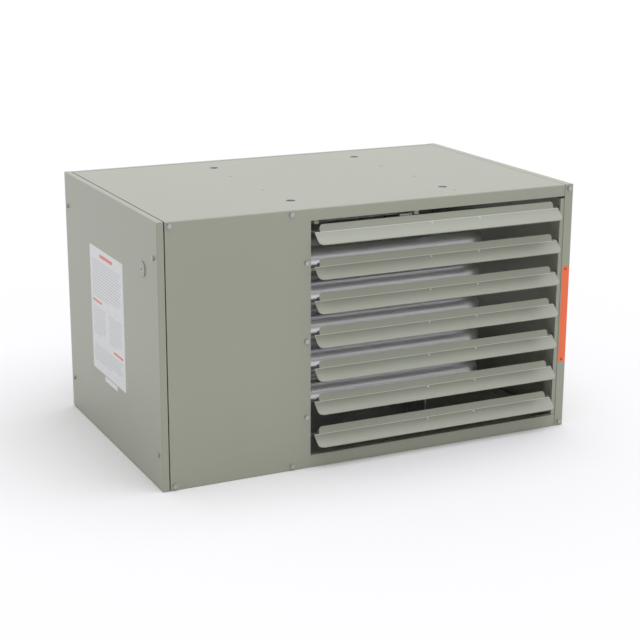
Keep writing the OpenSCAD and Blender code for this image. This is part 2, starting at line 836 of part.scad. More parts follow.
module heat_tube_1() heat_tube(tube_z[0]);
module heat_tube_2() heat_tube(tube_z[1]);
module heat_tube_3() heat_tube(tube_z[2]);
module heat_tube_4() heat_tube(tube_z[3]);
module heat_tube_5() heat_tube(tube_z[4]);

support_from_bend = 60;
support_margin = 16;
support_foot = 18;

// Upright plate near the right-hand bends, notched for the front passes
module tube_support() {
    x = tube_end_x - support_from_bend;
    color("silver") difference() {
        union() {
            block([x, pass_y[0], sheet],
                  [x + sheet, pass_y[3] + tube_d / 2 + support_margin,
                   tube_z[tube_count - 1] + tube_d / 2 + support_margin]);
            block([x, pass_y[0], sheet],
                  [x + support_foot, pass_y[3] + tube_d / 2 + support_margin, 2 * sheet]);
        }
        for (y = pass_y, z = tube_z)
            rod_x([x - over, y, z], tube_d + 2 * hole_clear, sheet + 2 * over);
    }
}

// Fan: four curved blades on a spider, in the orifice of the rear panel
fan_from_rear = 28;
fan_mid_y = rear - fan_from_rear;
blade_angle = 25;
blade_sheet = 1.8;
blade_arch_r = 170;
blade_root = 26;
blade_w = 108;
blade_low_r = 12;
blade_low_tip_r = 27;
blade_tip_r = 49;
spider_r = 40;
spider_sheet = 3;
arm_w = 30;
arm_reach = 78;
hub_d = 32;
hub_l = 30;
shaft_d = 12.7;
motor_gap = 8;
motor_front = rear + motor_gap;
bore_depth = 22;

module blade_outline() {
    intersection() {
        circle(d = fan_d);
        outline([blade_root, -blade_w / 2], [fan_d / 2 + over, blade_w / 2],
                [blade_low_r, blade_low_tip_r, blade_tip_r, blade_low_r]);
    }
}

// One blade along +X, with the fan's axis along Z
module blade() {
    height = blade_w;
    intersection() {
        translate([0, 0, -height / 2]) linear_extrude(height) blade_outline();
        rotate([blade_angle, 0, 0]) translate([0, 0, -blade_arch_r]) difference() {
            rod_x([0, 0, 0], 2 * (blade_arch_r + blade_sheet / 2), fan_d);
            rod_x([-over, 0, 0], 2 * (blade_arch_r - blade_sheet / 2), fan_d + 2 * over);
            translate([-over, -fan_d, -2 * fan_d]) cube([fan_d * 2, 2 * fan_d, 2 * fan_d]);
        }
    }
}

module fan_propeller() {
    color("silver") translate([fan_x, fan_mid_y, fan_z]) rotate([-90, 0, 0]) {
        for (i = [0 : blade_count - 1]) rotate(i * 360 / blade_count) {
            blade();
            rotate([blade_angle, 0, 0])
                translate([0, -arm_w / 2, -spider_sheet])
                    cube([arm_reach, arm_w, spider_sheet]);
        }
        cylinder(r = spider_r, h = spider_sheet, center = true);
        translate([0, 0, -hub_l / 2]) cylinder(d = hub_d, h = hub_l);
        cylinder(d = shaft_d, h = motor_front + bore_depth - end_gap - fan_mid_y);
    }
}

bell_r = 10;
boss_d = 44;
boss_h = 4;
vent_count = 12;
vent_w = 5;
vent_l = 22;

// Motor section: radius against distance behind its front face
module motor_section() {
    r = motor_d / 2;
    translate([0, -boss_h]) square([boss_d / 2, boss_h + over]);
    outline([0, 0], [r, motor_l], [0, bell_r, bell_r, 0]);
}

module fan_motor() {
    color("#3c3f42") translate([fan_x, motor_front, fan_z]) rotate([-90, 0, 0]) difference() {
        rotate_extrude() motor_section();
        translate([0, 0, -boss_h - over])
            cylinder(d = shaft_d + 2 * run_clear, h = boss_h + over + bore_depth);
        for (i = [0 : vent_count - 1]) rotate(i * 360 / vent_count)
            translate([motor_d / 2 - bell_r - vent_l, -vent_w / 2, motor_l - boss_h])
                cube([vent_l, vent_w, boss_h + over]);
    }
}

band_w = 22;
band_sheet = 2;
mount_arms = 4;
mount_start = 67.5;
arm_rod_d = 8;
foot_from_orifice = 7;
foot_r = orifice_d / 2 + lip_r + foot_from_orifice;
foot_d = 10;

// A band round the motor on four rods that stand on the rear panel
module motor_mount() {
    arm_y = motor_gap + band_w;
    color("#55585a") translate([fan_x, rear, fan_z]) rotate([-90, 0, 0]) {
        translate([0, 0, arm_y - band_w / 2]) difference() {
            cylinder(d = motor_d + 2 * band_sheet, h = band_w);
            translate([0, 0, -over]) cylinder(d = motor_d, h = band_w + 2 * over);
        }
        for (i = [0 : mount_arms - 1]) rotate(mount_start + i * 360 / mount_arms) {
            rod_x([motor_d / 2 + band_sheet / 2, 0, arm_y], arm_rod_d,
                  foot_r - motor_d / 2 - band_sheet / 2);
            translate([foot_r, 0, arm_y]) sphere(d = arm_rod_d);
            rod_z([foot_r, 0, 0], arm_rod_d, arm_y);
            rod_z([foot_r, 0, 0], foot_d, band_sheet);
        }
    }
}

guard_bend_r = 16;
guard_from_motor = 12;
guard_hole_r = motor_d / 2 + guard_from_motor;
weld_share = 0.8;
side_rings = 3;

// Wire guard: rings welded to the outside of ribs that reach over the fan
guard_ring_r = guard_d / 2 - guard_wire / 2;
guard_rib_r = guard_ring_r - weld_share * guard_wire;
guard_face_y = guard_reach - guard_wire / 2;
guard_rib_y = guard_face_y - weld_share * guard_wire;
guard_bend_start = guard_rib_r - guard_bend_r;
guard_face_r = guard_bend_start - guard_wire;

module guard_ring(r, y) {
    translate([0, 0, y]) rotate_extrude() translate([r, 0]) circle(d = guard_wire);
}

module on_guard() {
    color("#c9ccc6") translate([fan_x, rear, fan_z]) rotate([-90, 0, 0]) children();
}

// The face: its rings and the ribs' runs across it
module fan_guard() {
    face_rings = guard_rings - side_rings;
    step = (guard_face_r - guard_hole_r) / (face_rings - 1);
    on_guard() {
        for (i = [0 : face_rings - 1]) guard_ring(guard_hole_r + i * step, guard_face_y);
        for (i = [0 : guard_ribs - 1]) rotate(i * 360 / guard_ribs)
            rod_x([guard_hole_r - guard_wire / 2, 0, guard_rib_y], guard_wire,
                  guard_bend_start - guard_hole_r + guard_wire / 2);
    }
}

// The side: its rings, and the ribs' legs and bends
module fan_guard_side() {
    leg = guard_rib_y - guard_bend_r;
    on_guard() {
        for (i = [0 : side_rings - 1])
            guard_ring(guard_ring_r, guard_wire / 2 + i * leg / (side_rings - 1));
        for (i = [0 : guard_ribs - 1]) rotate(i * 360 / guard_ribs) {
            rod_z([guard_rib_r, 0, 0], guard_wire, leg);
            translate([guard_bend_start, 0, leg]) rotate([90, 0, 0])
                rotate_extrude(angle = 90) translate([guard_bend_r, 0]) circle(d = guard_wire);
        }
    }
}

// Burners: one in front of each tube, fed from an upright manifold
burner_wall = 1.2;
// Shares of the length and of the radius along a burner's barrel
burner_shares = [[0, 1], [0.13, 1], [0.3, 0.62], [0.46, 0.62], [0.78, 1], [1, 1]];
wing_l = 12;
wing_from_end = 5;
wing_sheet = 1.5;
wing_gap = 0.6;

module burner_barrel(radius, extra) {
    last = len(burner_shares) - 1;
    rotate([0, 90, 0]) rotate_extrude() polygon(concat(
        [[0, -extra]], [[burner_shares[0][1] * radius, -extra]],
        [for (s = burner_shares) [s[1] * radius, s[0] * burner_l]],
        [[burner_shares[last][1] * radius, burner_l + extra], [0, burner_l + extra]]));
}

module burner(z) {
    wing_x = burner_l - wing_from_end - wing_l;
    color("silver") translate([burner_left, pass_y[0], z]) difference() {
        union() {
            burner_barrel(burner_d / 2, 0);
            block([wing_x, -wing_sheet / 2, -(tube_pitch - wing_gap) / 2],
                  [wing_x + wing_l, wing_sheet / 2, (tube_pitch - wing_gap) / 2]);
        }
        burner_barrel(burner_d / 2 - burner_wall, over);
    }
}

module burner_1() burner(tube_z[0]);
module burner_2() burner(tube_z[1]);
module burner_3() burner(tube_z[2]);
module burner_4() burner(tube_z[3]);
module burner_5() burner(tube_z[4]);

rack_from_mouth = 8;
rack_x = burner_left + rack_from_mouth;
rack_margin = 34;
rack_flange = 14;

// A bracket on the partition that holds the burners by their mouths
module burner_rack() {
    low = tube_z[0] - rack_margin;
    high = tube_z[tube_count - 1] + rack_margin;
    y0 = pass_y[0] - rack_margin;
    y1 = pass_y[0] + rack_margin;
    color("silver") difference() {
        union() {
            block([rack_x, y0, low], [rack_x + sheet, y1, high]);
            for (z = [low, high - sheet])
                block([rack_x, y0, z], [partition_x, y1, z + sheet]);
            block([partition_x - sheet, y0, low - rack_flange], [partition_x, y1, low + sheet]);
            block([partition_x - sheet, y0, high - sheet], [partition_x, y1, high + rack_flange]);
        }
        for (z = tube_z)
            rod_x([rack_x - over, pass_y[0], z], burner_d + hole_clear, sheet + 2 * over);
    }
}

gas_elbow_r = 24;
manifold_top = 26;
manifold_bore = 15.8;
spud_boss_d = 17;
spud_boss_h = 2;
valve_from_elbow = 26;
valve_size = [66, 86, 58];
valve_front = pass_y[0] + gas_elbow_r + valve_from_elbow;
valve_rear = valve_front + valve_size[1];
valve_corner_r = 8;

module gas_manifold() {
    color("#4a4c4d") {
        rod_z([gas_x, pass_y[0], gas_z + gas_elbow_r], manifold_d,
              tube_z[tube_count - 1] + manifold_top - gas_z - gas_elbow_r);
        translate([gas_x, pass_y[0] + gas_elbow_r, gas_z + gas_elbow_r]) rotate([90, 0, 90])
            rotate(180) rotate_extrude(angle = 90)
                translate([gas_elbow_r, 0]) circle(d = manifold_d);
        rod_y([gas_x, pass_y[0] + gas_elbow_r, gas_z], manifold_d, valve_from_elbow);
        for (z = tube_z)
            rod_x([gas_x, pass_y[0], z], spud_boss_d, manifold_d / 2 + spud_boss_h);
    }
}

spud_across = 12.7;
spud_hex_l = 4;
nozzle_d = 7;
nozzle_l = 5;
nozzle_bore_d = 2;

module burner_orifices() {
    color("goldenrod") for (z = tube_z)
        translate([gas_x + manifold_d / 2 + spud_boss_h, pass_y[0], z]) rotate([0, 90, 0])
            difference() {
                union() {
                    cylinder(d = spud_across / cos(30), h = spud_hex_l, $fn = 6);
                    cylinder(d = nozzle_d, h = spud_hex_l + nozzle_l);
                }
                translate([0, 0, -over])
                    cylinder(d = nozzle_bore_d, h = spud_hex_l + nozzle_l + 2 * over);
            }
}

knob_d = 34;
knob_h = 14;
knob_stem_d = 8;
knob_stem_l = 10;
knob_lift = 0.4;
knob_boss_d = 24;
knob_boss_h = 5;
knob_from_front = 24;
knob_y = valve_front + knob_from_front;
valve_top = gas_z + valve_size[2] / 2;
knob_base = valve_top + knob_boss_h + knob_lift;
tower_d = 30;
tower_h = 20;

module gas_valve() {
    color("#b4b6b4") difference() {
        union() {
            translate([0, 0, gas_z - valve_size[2] / 2]) linear_extrude(valve_size[2])
                outline([gas_x - valve_size[0] / 2, valve_front],
                        [gas_x + valve_size[0] / 2, valve_rear],
                        [valve_corner_r, valve_corner_r, valve_corner_r, valve_corner_r]);
            rod_z([gas_x, knob_y, valve_top - over], knob_boss_d, knob_boss_h + over);
            rod_z([gas_x, valve_rear - tower_d, valve_top - over], tower_d, tower_h + over);
            translate([gas_x, valve_rear - tower_d, valve_top + tower_h - over])
                cylinder(d = tower_d / 2 / cos(30), h = tower_h / 4 + over, $fn = 6);
            rod_x([gas_x + valve_size[0] / 2 - over, valve_front + valve_size[1] / 2, gas_z],
                  tower_d, tower_h + over);
        }
        rod_z([gas_x, knob_y, valve_top + knob_boss_h - knob_stem_l - knob_lift],
              knob_stem_d + 2 * run_clear, knob_stem_l + knob_lift + over);
    }
}

module gas_valve_knob() {
    grip_w = 8;
    color("#c23a2a") translate([gas_x, knob_y, knob_base]) difference() {
        union() {
            cylinder(d = knob_d, h = knob_h / 2);
            translate([-knob_d / 2 + grip_w / 4, -grip_w / 2, 0])
                cube([knob_d - grip_w / 2, grip_w, knob_h]);
            translate([0, 0, -knob_stem_l]) cylinder(d = knob_stem_d, h = knob_stem_l + over);
        }
        // Pointer groove along one half of the grip
        translate([0, -grip_w / 8, knob_h - grip_w / 8])
            cube([knob_d, grip_w / 4, grip_w]);
    }
}

// The pipe's free end is threaded, so it is a little slimmer than the pipe
module gas_supply_pipe() {
    color("#4a4c4d") difference() {
        union() {
            rod_y([gas_x, valve_rear, gas_z], supply_d, rear + thread_start - valve_rear);
            rod_y([gas_x, rear, gas_z], supply_d - 2 * thread_depth, supply_reach);
        }
        rod_y([gas_x, valve_rear + sheet, gas_z], manifold_bore,
              rear + supply_reach - valve_rear);
    }
}

// Igniter and flame sensor: a rod in an insulator on an angle on the partition
electrode_tab = 14;
electrode_plate = 9;
insulator_d = 7;
insulator_l = 44;
insulator_in = 10;
electrode_d = 2;
electrode_tip = 12;

module electrode(z) {
    tab_y = pass_y[0] + tube_d / 2 + electrode_tab;
    x = partition_x - electrode_tab / 2;
    union() {
        block([partition_x - sheet, tab_y - electrode_plate, z - electrode_plate],
              [partition_x, tab_y + electrode_plate, z + electrode_plate]);
        block([partition_x - electrode_tab, tab_y, z - electrode_plate],
              [partition_x, tab_y + sheet, z + electrode_plate]);
        rod_y([x, tab_y - insulator_in, z], insulator_d, insulator_l);
        rod_y([x, pass_y[0] + electrode_tip, z], electrode_d,
              tab_y - insulator_in + over - pass_y[0] - electrode_tip);
    }
}

module spark_igniter() color("ivory") electrode(tube_z[0]);
module flame_sensor() color("ivory") electrode(tube_z[tube_count - 1]);

module rollout_switch() {
    z = (tube_z[tube_count - 2] + tube_z[tube_count - 1]) / 2;
    disc_d = 17;
    body_l = 8;
    flange_l = 24;
    color("#2f3133") {
        rod_x([rack_x - body_l, pass_y[0], z], disc_d, body_l);
        block([rack_x - sheet, pass_y[0] - flange_l / 2, z - disc_d / 3],
              [rack_x, pass_y[0] + flange_l / 2, z + disc_d / 3]);
    }
}

collector_flange = 10;
inducer_inlet_d = 52;

module flue_collector_box() {
    y0 = pass_y[3] - collector_margin;
    y1 = pass_y[3] + collector_margin;
    low = tube_z[0] - collector_margin;
    high = tube_z[tube_count - 1] + collector_margin;
    color("silver") difference() {
        union() {
            block([collector_left, y0, low], [partition_x, y1, high]);
            block([partition_x - sheet, y0 - collector_flange, low - collector_flange],
                  [partition_x, y1 + collector_flange, high + collector_flange]);
        }
        block([collector_left + sheet, y0 + sheet, low + sheet],
              [partition_x + over, y1 - sheet, high - sheet]);
        rod_x([collector_left - over, pass_y[3], tube_mid_z], inducer_inlet_d, sheet + 2 * over);
    }
}

scroll_wall = 2;
shaft_hole_d = 11;
nipple_d = 4.8;
nipple_l = 8;
nipple_from_axis = 25;
nipple_y = pass_y[3] - nipple_from_axis;
nipple_rise_share = 0.46;
nipple_z = tube_mid_z + nipple_rise_share * scroll_d;

// Scroll of the draft inducer, with its spout towards the flue collar
module scroll_solid(inset) {
    rod_x([scroll_x + inset, pass_y[3], tube_mid_z], scroll_d - 2 * inset, scroll_w - 2 * inset);
    block([scroll_x + inset, pass_y[3], flue_z - spout_h / 2 + inset],
          [collector_left - inset, spout_end_y + (inset > 0 ? over : 0),
           flue_z + spout_h / 2 - inset]);
}

module inducer_housing() {
    color("#5b5d5e") difference() {
        union() {
            scroll_solid(0);
            rod_z([scroll_mid_x, nipple_y, nipple_z - nipple_l], nipple_d, 2 * nipple_l);
        }
        scroll_solid(scroll_wall);
        rod_x([collector_left - scroll_wall - over, pass_y[3], tube_mid_z], inducer_inlet_d,
              scroll_wall + 2 * over);
        rod_x([scroll_x - over, pass_y[3], tube_mid_z], shaft_hole_d, scroll_wall + 2 * over);
    }
}

wheel_d = 96;
wheel_w = 28;
wheel_inner_d = 60;
wheel_blades = 18;
wheel_sheet = 1.5;
inducer_shaft_d = 8;
inducer_bore = 16;
inducer_motor_gap = 6;
inducer_motor_d = 84;
inducer_motor_l = 52;

module inducer_wheel() {
    blade_l = (wheel_d - wheel_inner_d) / 2 - wheel_sheet;
    color("silver") translate([scroll_mid_x, pass_y[3], tube_mid_z]) rotate([0, 90, 0]) {
        translate([0, 0, -wheel_w / 2]) {
            cylinder(d = wheel_d, h = wheel_sheet);
            for (i = [0 : wheel_blades - 1]) rotate(i * 360 / wheel_blades)
                translate([wheel_inner_d / 2, -wheel_sheet / 2, wheel_sheet / 2])
                    cube([blade_l, wheel_sheet, wheel_w - wheel_sheet]);
            cylinder(d = 2 * inducer_shaft_d, h = wheel_w / 2);
        }
        translate([0, 0, wheel_w / 2 - wheel_sheet]) difference() {
            cylinder(d = wheel_d, h = wheel_sheet);
            translate([0, 0, -over]) cylinder(d = wheel_inner_d, h = wheel_sheet + 2 * over);
        }
        translate([0, 0, -scroll_w / 2 - inducer_motor_gap - inducer_bore + end_gap])
            cylinder(d = inducer_shaft_d,
                     h = scroll_w / 2 + inducer_motor_gap + inducer_bore - end_gap);
    }
}

standoff_d = 9;
standoff_count = 3;

module inducer_motor() {
    color("#3c3f42") translate([scroll_x, pass_y[3], tube_mid_z]) rotate([0, -90, 0])
        difference() {
            union() {
                translate([0, 0, inducer_motor_gap]) rotate_extrude()
                    outline([0, 0], [inducer_motor_d / 2, inducer_motor_l],
                            [0, bell_r / 2, bell_r, 0]);
                for (i = [0 : standoff_count - 1]) rotate(i * 360 / standoff_count)
                    translate([inducer_motor_d / 3, 0, 0])
                        cylinder(d = standoff_d, h = inducer_motor_gap + over);
            }
            translate([0, 0, inducer_motor_gap - over])
                cylinder(d = inducer_shaft_d + 2 * run_clear, h = inducer_bore + over);
        }
}

collar_wall = 1;
collar_flange = 12;
collar_straight = 12;
collar_mouth_d = 36;

module flue_collar() {
    reach = rear - spout_end_y;
    r = flue_d / 2;
    throat = spout_h / 2;
    shoulder = reach - collar_straight;
    color("silver") translate([scroll_mid_x, spout_end_y, flue_z]) rotate([-90, 0, 0])
        rotate_extrude() union() {
            polygon([[throat, 0], [throat + collar_wall, 0], [r, shoulder],
                     [r, reach + flue_reach], [r - collar_wall, reach + flue_reach],
                     [r - collar_wall, shoulder]]);
            translate([collar_mouth_d / 2, 0])
                square([throat + collar_flange / 2 - collar_mouth_d / 2, collar_wall]);
            translate([r - collar_wall / 2, reach]) square([collar_flange, collar_wall]);
        }
}

// Pressure switch on the partition, and its hose to the inducer
press_y = (front + rear) / 2;
press_below_tube = 30;
press_z = tube_z[tube_count - 1] - press_below_tube;
press_d = 68;
press_w = 28;
hose_d = 8;
hose_bend_r = 12;

module pressure_switch() {
    color("#2f3133") {
        rod_x([partition_x - press_w, press_y, press_z], press_d, press_w);
        rod_x([partition_x - press_w - nipple_l, press_y, press_z], nipple_d, nipple_l + over);
        rod_x([partition_x - press_w / 2 - sheet, press_y, press_z], press_d + bell_r,
              2 * sheet);
    }
}

module hose_path(d, extra) {
    x0 = partition_x - press_w - end_gap;
    bend_x = scroll_mid_x + hose_bend_r;
    bend_y = nipple_y - hose_bend_r;
    rod_x([bend_x, press_y, press_z], d, x0 + extra - bend_x);
    translate([bend_x, press_y + hose_bend_r, press_z]) rotate(180)
        rotate_extrude(angle = 90) translate([hose_bend_r, 0]) circle(d = d);
    rod_y([scroll_mid_x, press_y + hose_bend_r, press_z], d, bend_y - press_y - hose_bend_r);
    translate([scroll_mid_x, bend_y, press_z - hose_bend_r]) rotate([90, 0, 90])
        rotate_extrude(angle = 90) translate([hose_bend_r, 0]) circle(d = d);
    rod_z([scroll_mid_x, nipple_y, nipple_z + nipple_l / 2 - extra], d,
          press_z - hose_bend_r - nipple_z - nipple_l / 2 + extra);
}

module pressure_hose() {
    color("#d9822b") difference() {
        hose_path(hose_d, 0);
        hose_path(nipple_d, over);
    }
}

board_size = [1.6, 150, 62];
board_gap = 8;
board_from_middle = 85;
board_from_top = 7;
board_y = (front + rear) / 2 - board_from_middle;
board_z = top - board_from_top - board_size[2];
board_hole_in = 6;
relay = [18, 22, 16];
relay_count = 4;
relay_step = 27.5;
cap_d = 12;
cap_h = 20;
cap_count = 3;
cap_step = 36;
cap_from_edge = 19;

module control_board() {
    x = partition_x - board_gap - board_size[0];
    color("seagreen") {
        block([x, board_y, board_z], [x + board_size[0], board_y + board_size[1],
                                      board_z + board_size[2]]);
        for (y = [board_hole_in, board_size[1] - board_hole_in],
             z = [board_hole_in, board_size[2] - board_hole_in])
            rod_x([x + board_size[0] / 2, board_y + y, board_z + z], board_hole_in,
                  board_gap + board_size[0] / 2);
        for (k = [1 : relay_count])
            block([x - relay[0], board_y + k * relay_step, board_z + board_hole_in],
                  [x + board_size[0] / 2, board_y + k * relay_step + relay[1],
                   board_z + board_hole_in + relay[2]]);
        for (k = [1 : cap_count])
            rod_x([x - cap_h, board_y + k * cap_step, board_z + board_size[2] - cap_from_edge],
                  cap_d, cap_h + board_size[0] / 2);
    }
}

core = [34, 62, 52];
coil_size = [58, 36, 30];
transformer_from_partition = 62;
transformer_from_middle = 62;
transformer_x = partition_x - transformer_from_partition;
transformer_y = (front + rear) / 2 - transformer_from_middle;
transformer_foot = 10;

module transformer() {
    color("#6d6f70") {
        block([transformer_x - core[0] / 2, transformer_y, sheet],
              [transformer_x + core[0] / 2, transformer_y + core[1], sheet + core[2]]);
        block([transformer_x - core[0] / 2, transformer_y - transformer_foot, sheet],
              [transformer_x + core[0] / 2, transformer_y + core[1] + transformer_foot,
               2 * sheet + sheet]);
        block([transformer_x - coil_size[0] / 2, transformer_y + (core[1] - coil_size[1]) / 2,
               sheet + (core[2] - coil_size[2]) / 2],
              [transformer_x + coil_size[0] / 2, transformer_y + (core[1] + coil_size[1]) / 2,
               sheet + (core[2] + coil_size[2]) / 2]);
    }
}

module junction_box() {
    y0 = rear - sheet - junction_d;
    y1 = rear - sheet;
    x1 = junction_left + junction_w;
    z1 = junction_bottom + junction_h;
    color("silver") difference() {
        block([junction_left, y0, junction_bottom], [x1, y1, z1]);
        block([junction_left + sheet, y0 + 2 * sheet, junction_bottom + sheet],
              [x1 - sheet, y1 - sheet, z1 - sheet]);
        rod_y([knockout_x, y1 - sheet - over, knockout_z], knockout_d, sheet + 2 * over);
    }
}

front_and_top_sheet();
left_access_panel();
right_side_panel();
bottom_panel();
rear_panel();
fan_orifice_ring();
partition_panel();
hanger_rail_left();
hanger_rail_right();
hanger_nuts();
louver_bracket_left();
louver_bracket_right();
louver_pivot_pins();
louver_springs();
louver_1();
louver_2();
louver_3();
louver_4();
louver_5();
louver_6();
louver_7();
heat_tube_1();
heat_tube_2();
heat_tube_3();
heat_tube_4();
heat_tube_5();
tube_support();
flue_collector_box();
burner_rack();
burner_1();
burner_2();
burner_3();
burner_4();
burner_5();
gas_manifold();
burner_orifices();
gas_valve();
gas_valve_knob();
gas_supply_pipe();
spark_igniter();
flame_sensor();
rollout_switch();
inducer_housing();
inducer_wheel();
inducer_motor();
flue_collar();
pressure_switch();
pressure_hose();
control_board();
transformer();
junction_box();
limit_switch();
limit_sensor_coil();
fan_motor();
fan_propeller();
motor_mount();
fan_guard();
fan_guard_side();
casing_screws();
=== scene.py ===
# %% [markdown]
# # A gas unit heater, dressed around its CAD frame
# The heater hangs under a ceiling and blows warm air through seven louvers.
# Its casing is folded from thin steel sheet and powder coated in a grey sage green.
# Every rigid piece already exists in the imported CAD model, in metres, in one shared frame:
# +Z is up, the louvers face -Y, and the origin is the centre of the base.
# This lesson loads that frame, sets up a camera and soft light, gives each piece the finish
# that the real one has, and adds the thin trim that CAD leaves out.

# %% Load the frame
import json
import math

import bmesh
import bpy
from mathutils import Matrix, Vector


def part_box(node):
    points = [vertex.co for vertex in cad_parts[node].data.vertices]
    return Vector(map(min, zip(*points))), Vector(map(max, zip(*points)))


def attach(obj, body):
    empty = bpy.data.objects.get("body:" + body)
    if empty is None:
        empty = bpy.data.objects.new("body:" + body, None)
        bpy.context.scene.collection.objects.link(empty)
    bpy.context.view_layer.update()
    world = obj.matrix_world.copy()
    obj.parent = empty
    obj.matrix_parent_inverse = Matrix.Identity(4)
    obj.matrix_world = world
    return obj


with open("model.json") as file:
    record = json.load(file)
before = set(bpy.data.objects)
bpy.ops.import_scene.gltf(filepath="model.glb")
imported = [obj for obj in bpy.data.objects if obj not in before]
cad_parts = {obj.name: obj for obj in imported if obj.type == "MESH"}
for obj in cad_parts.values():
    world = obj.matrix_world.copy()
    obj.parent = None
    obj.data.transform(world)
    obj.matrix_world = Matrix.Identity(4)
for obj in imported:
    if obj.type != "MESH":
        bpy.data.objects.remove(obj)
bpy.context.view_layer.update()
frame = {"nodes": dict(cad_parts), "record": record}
nodes = frame["nodes"]

# %% [markdown]
# ## The camera
# The picture was taken from the front left, a little above the casing, with a long lens from
# about three metres away. A camera could be placed by eye, but its place can also be solved:
# the casing's corners are known in millimetres and their pixels can be read off the picture, so
# a least-squares fit gives the direction, the distance and the focal length. The camera keeps
# no lens shift, because the views from other sides use the same camera and have to stay framed.

# %% Camera from the solved values
CAMERA_AZIMUTH = math.radians(-25.849)  # negative is to the left of the front
CAMERA_ELEVATION = math.radians(15.687)
CAMERA_ROLL = math.radians(0.195)
CAMERA_DISTANCE = 2.9073  # metres from the point it looks at
CAMERA_TARGET = Vector((0.0124, 0.0001, 0.1850))
FOCAL_LENGTH = 87.03  # millimetres, on a sensor 36 mm wide
SENSOR_WIDTH = 36.0

back = Vector((math.sin(CAMERA_AZIMUTH) * math.cos(CAMERA_ELEVATION),
               -math.cos(CAMERA_AZIMUTH) * math.cos(CAMERA_ELEVATION),
               math.sin(CAMERA_ELEVATION)))
level_right = Vector((math.cos(CAMERA_AZIMUTH), math.sin(CAMERA_AZIMUTH), 0.0))
level_up = back.cross(level_right)
right = level_right * math.cos(CAMERA_ROLL) + level_up * math.sin(CAMERA_ROLL)
up = level_up * math.cos(CAMERA_ROLL) - level_right * math.sin(CAMERA_ROLL)

camera_data = bpy.data.cameras.new("studio_camera")
camera_data.lens = FOCAL_LENGTH
camera_data.sensor_width = SENSOR_WIDTH
camera = bpy.data.objects.new("studio_camera", camera_data)
bpy.context.scene.collection.objects.link(camera)
camera.matrix_world = (Matrix.Translation(CAMERA_TARGET + back * CAMERA_DISTANCE)
                       @ Matrix((right, up, back)).transposed().to_4x4())
bpy.context.scene.camera = camera
bpy.context.scene.view_settings.view_transform = "Standard"
print("camera at", [round(value, 3) for value in camera.matrix_world.translation])

# %% [markdown]
# ## Nodes and colours
# A finish is a small graph of shader nodes. One helper adds a node, fills in its settings and
# links its inputs, which keeps each graph readable as a list of steps. Colours are written as
# the hex values that a paint chart or a picture gives. Those are sRGB, and the renderer works in
# linear light, so one function converts them.

# %% Helpers for colours and shader nodes
def linear(hex_colour):
    """Linear red, green, blue and alpha of an sRGB hex colour."""
    channels = [int(hex_colour[start:start + 2], 16) / 255 for start in (1, 3, 5)]
    return [c / 12.92 if c <= 0.04045 else ((c + 0.055) / 1.055) ** 2.4
            for c in channels] + [1.0]


def add(tree, kind, sockets=None, **settings):
    """Adds a shader node. A socket's value is a number, a colour or another node's output."""
    made = tree.nodes.new(kind)
    for name, value in settings.items():
        setattr(made, name, value)
    for name, value in (sockets or {}).items():
        if isinstance(value, bpy.types.NodeSocket):
            tree.links.new(value, made.inputs[name])
        else:
            made.inputs[name].default_value = value
    return made


MM = 0.001
print("middle grey in linear light:", [round(c, 3) for c in linear("#808080")])

# %% [markdown]
# ## Light
# The picture is lit by a large soft source overhead and by a bright room all round. A lamp that
# falls off with distance would leave the floor uneven, so the overhead source is a sun with a
# wide disc: it lights evenly and still gives soft shadows. The world is white where the camera,
# a mirror-like surface or glass looks at it, and dimmer as a light, so that painted steel comes
# out about as its colour is written.

# %% World and overhead light
WORLD_LIGHT = 0.62
world = bpy.data.worlds.new("bright_room")
bpy.context.scene.world = world
world.use_nodes = True
world.node_tree.nodes.clear()
path = add(world.node_tree, "ShaderNodeLightPath")
seen = add(world.node_tree, "ShaderNodeMath", {0: path.outputs["Is Camera Ray"],
                                               1: path.outputs["Is Glossy Ray"]},
           operation="MAXIMUM")
seen = add(world.node_tree, "ShaderNodeMath", {0: seen.outputs[0],
                                               1: path.outputs["Is Transmission Ray"]},
           operation="MAXIMUM")
strength = add(world.node_tree, "ShaderNodeMapRange",
               {"Value": seen.outputs[0], "To Min": WORLD_LIGHT, "To Max": 1.0})
room = add(world.node_tree, "ShaderNodeBackground",
           {"Color": linear("#FFFFFF"), "Strength": strength.outputs[0]})
add(world.node_tree, "ShaderNodeOutputWorld", {"Surface": room.outputs[0]})

OVERHEAD_LEVEL = 0.66  # share of the light that a level white surface needs to look white
overhead = bpy.data.lights.new("overhead_softbox", "SUN")
overhead.energy = math.pi * OVERHEAD_LEVEL
overhead.angle = math.radians(70)
overhead.color = linear("#F5F5FF")[:3]  # a softbox is a little cooler than the room
overhead_lamp = bpy.data.objects.new("overhead_softbox", overhead)
overhead_from = Vector((0.16, -0.15, 0.975))
overhead_lamp.rotation_euler = overhead_from.to_track_quat("Z", "Y").to_euler()
bpy.context.scene.collection.objects.link(overhead_lamp)
print("light on a level surface:", WORLD_LIGHT + OVERHEAD_LEVEL * overhead_from.normalized().z)

# %% [markdown]
# ## The floor
# A pale, plain floor carries the heater's shadow. It is one large disc, so that no edge of it
# shows from any side. Its grey is chosen so that it comes out close to white under the
# overhead light, and it lights the undersides and the low parts of the panels.

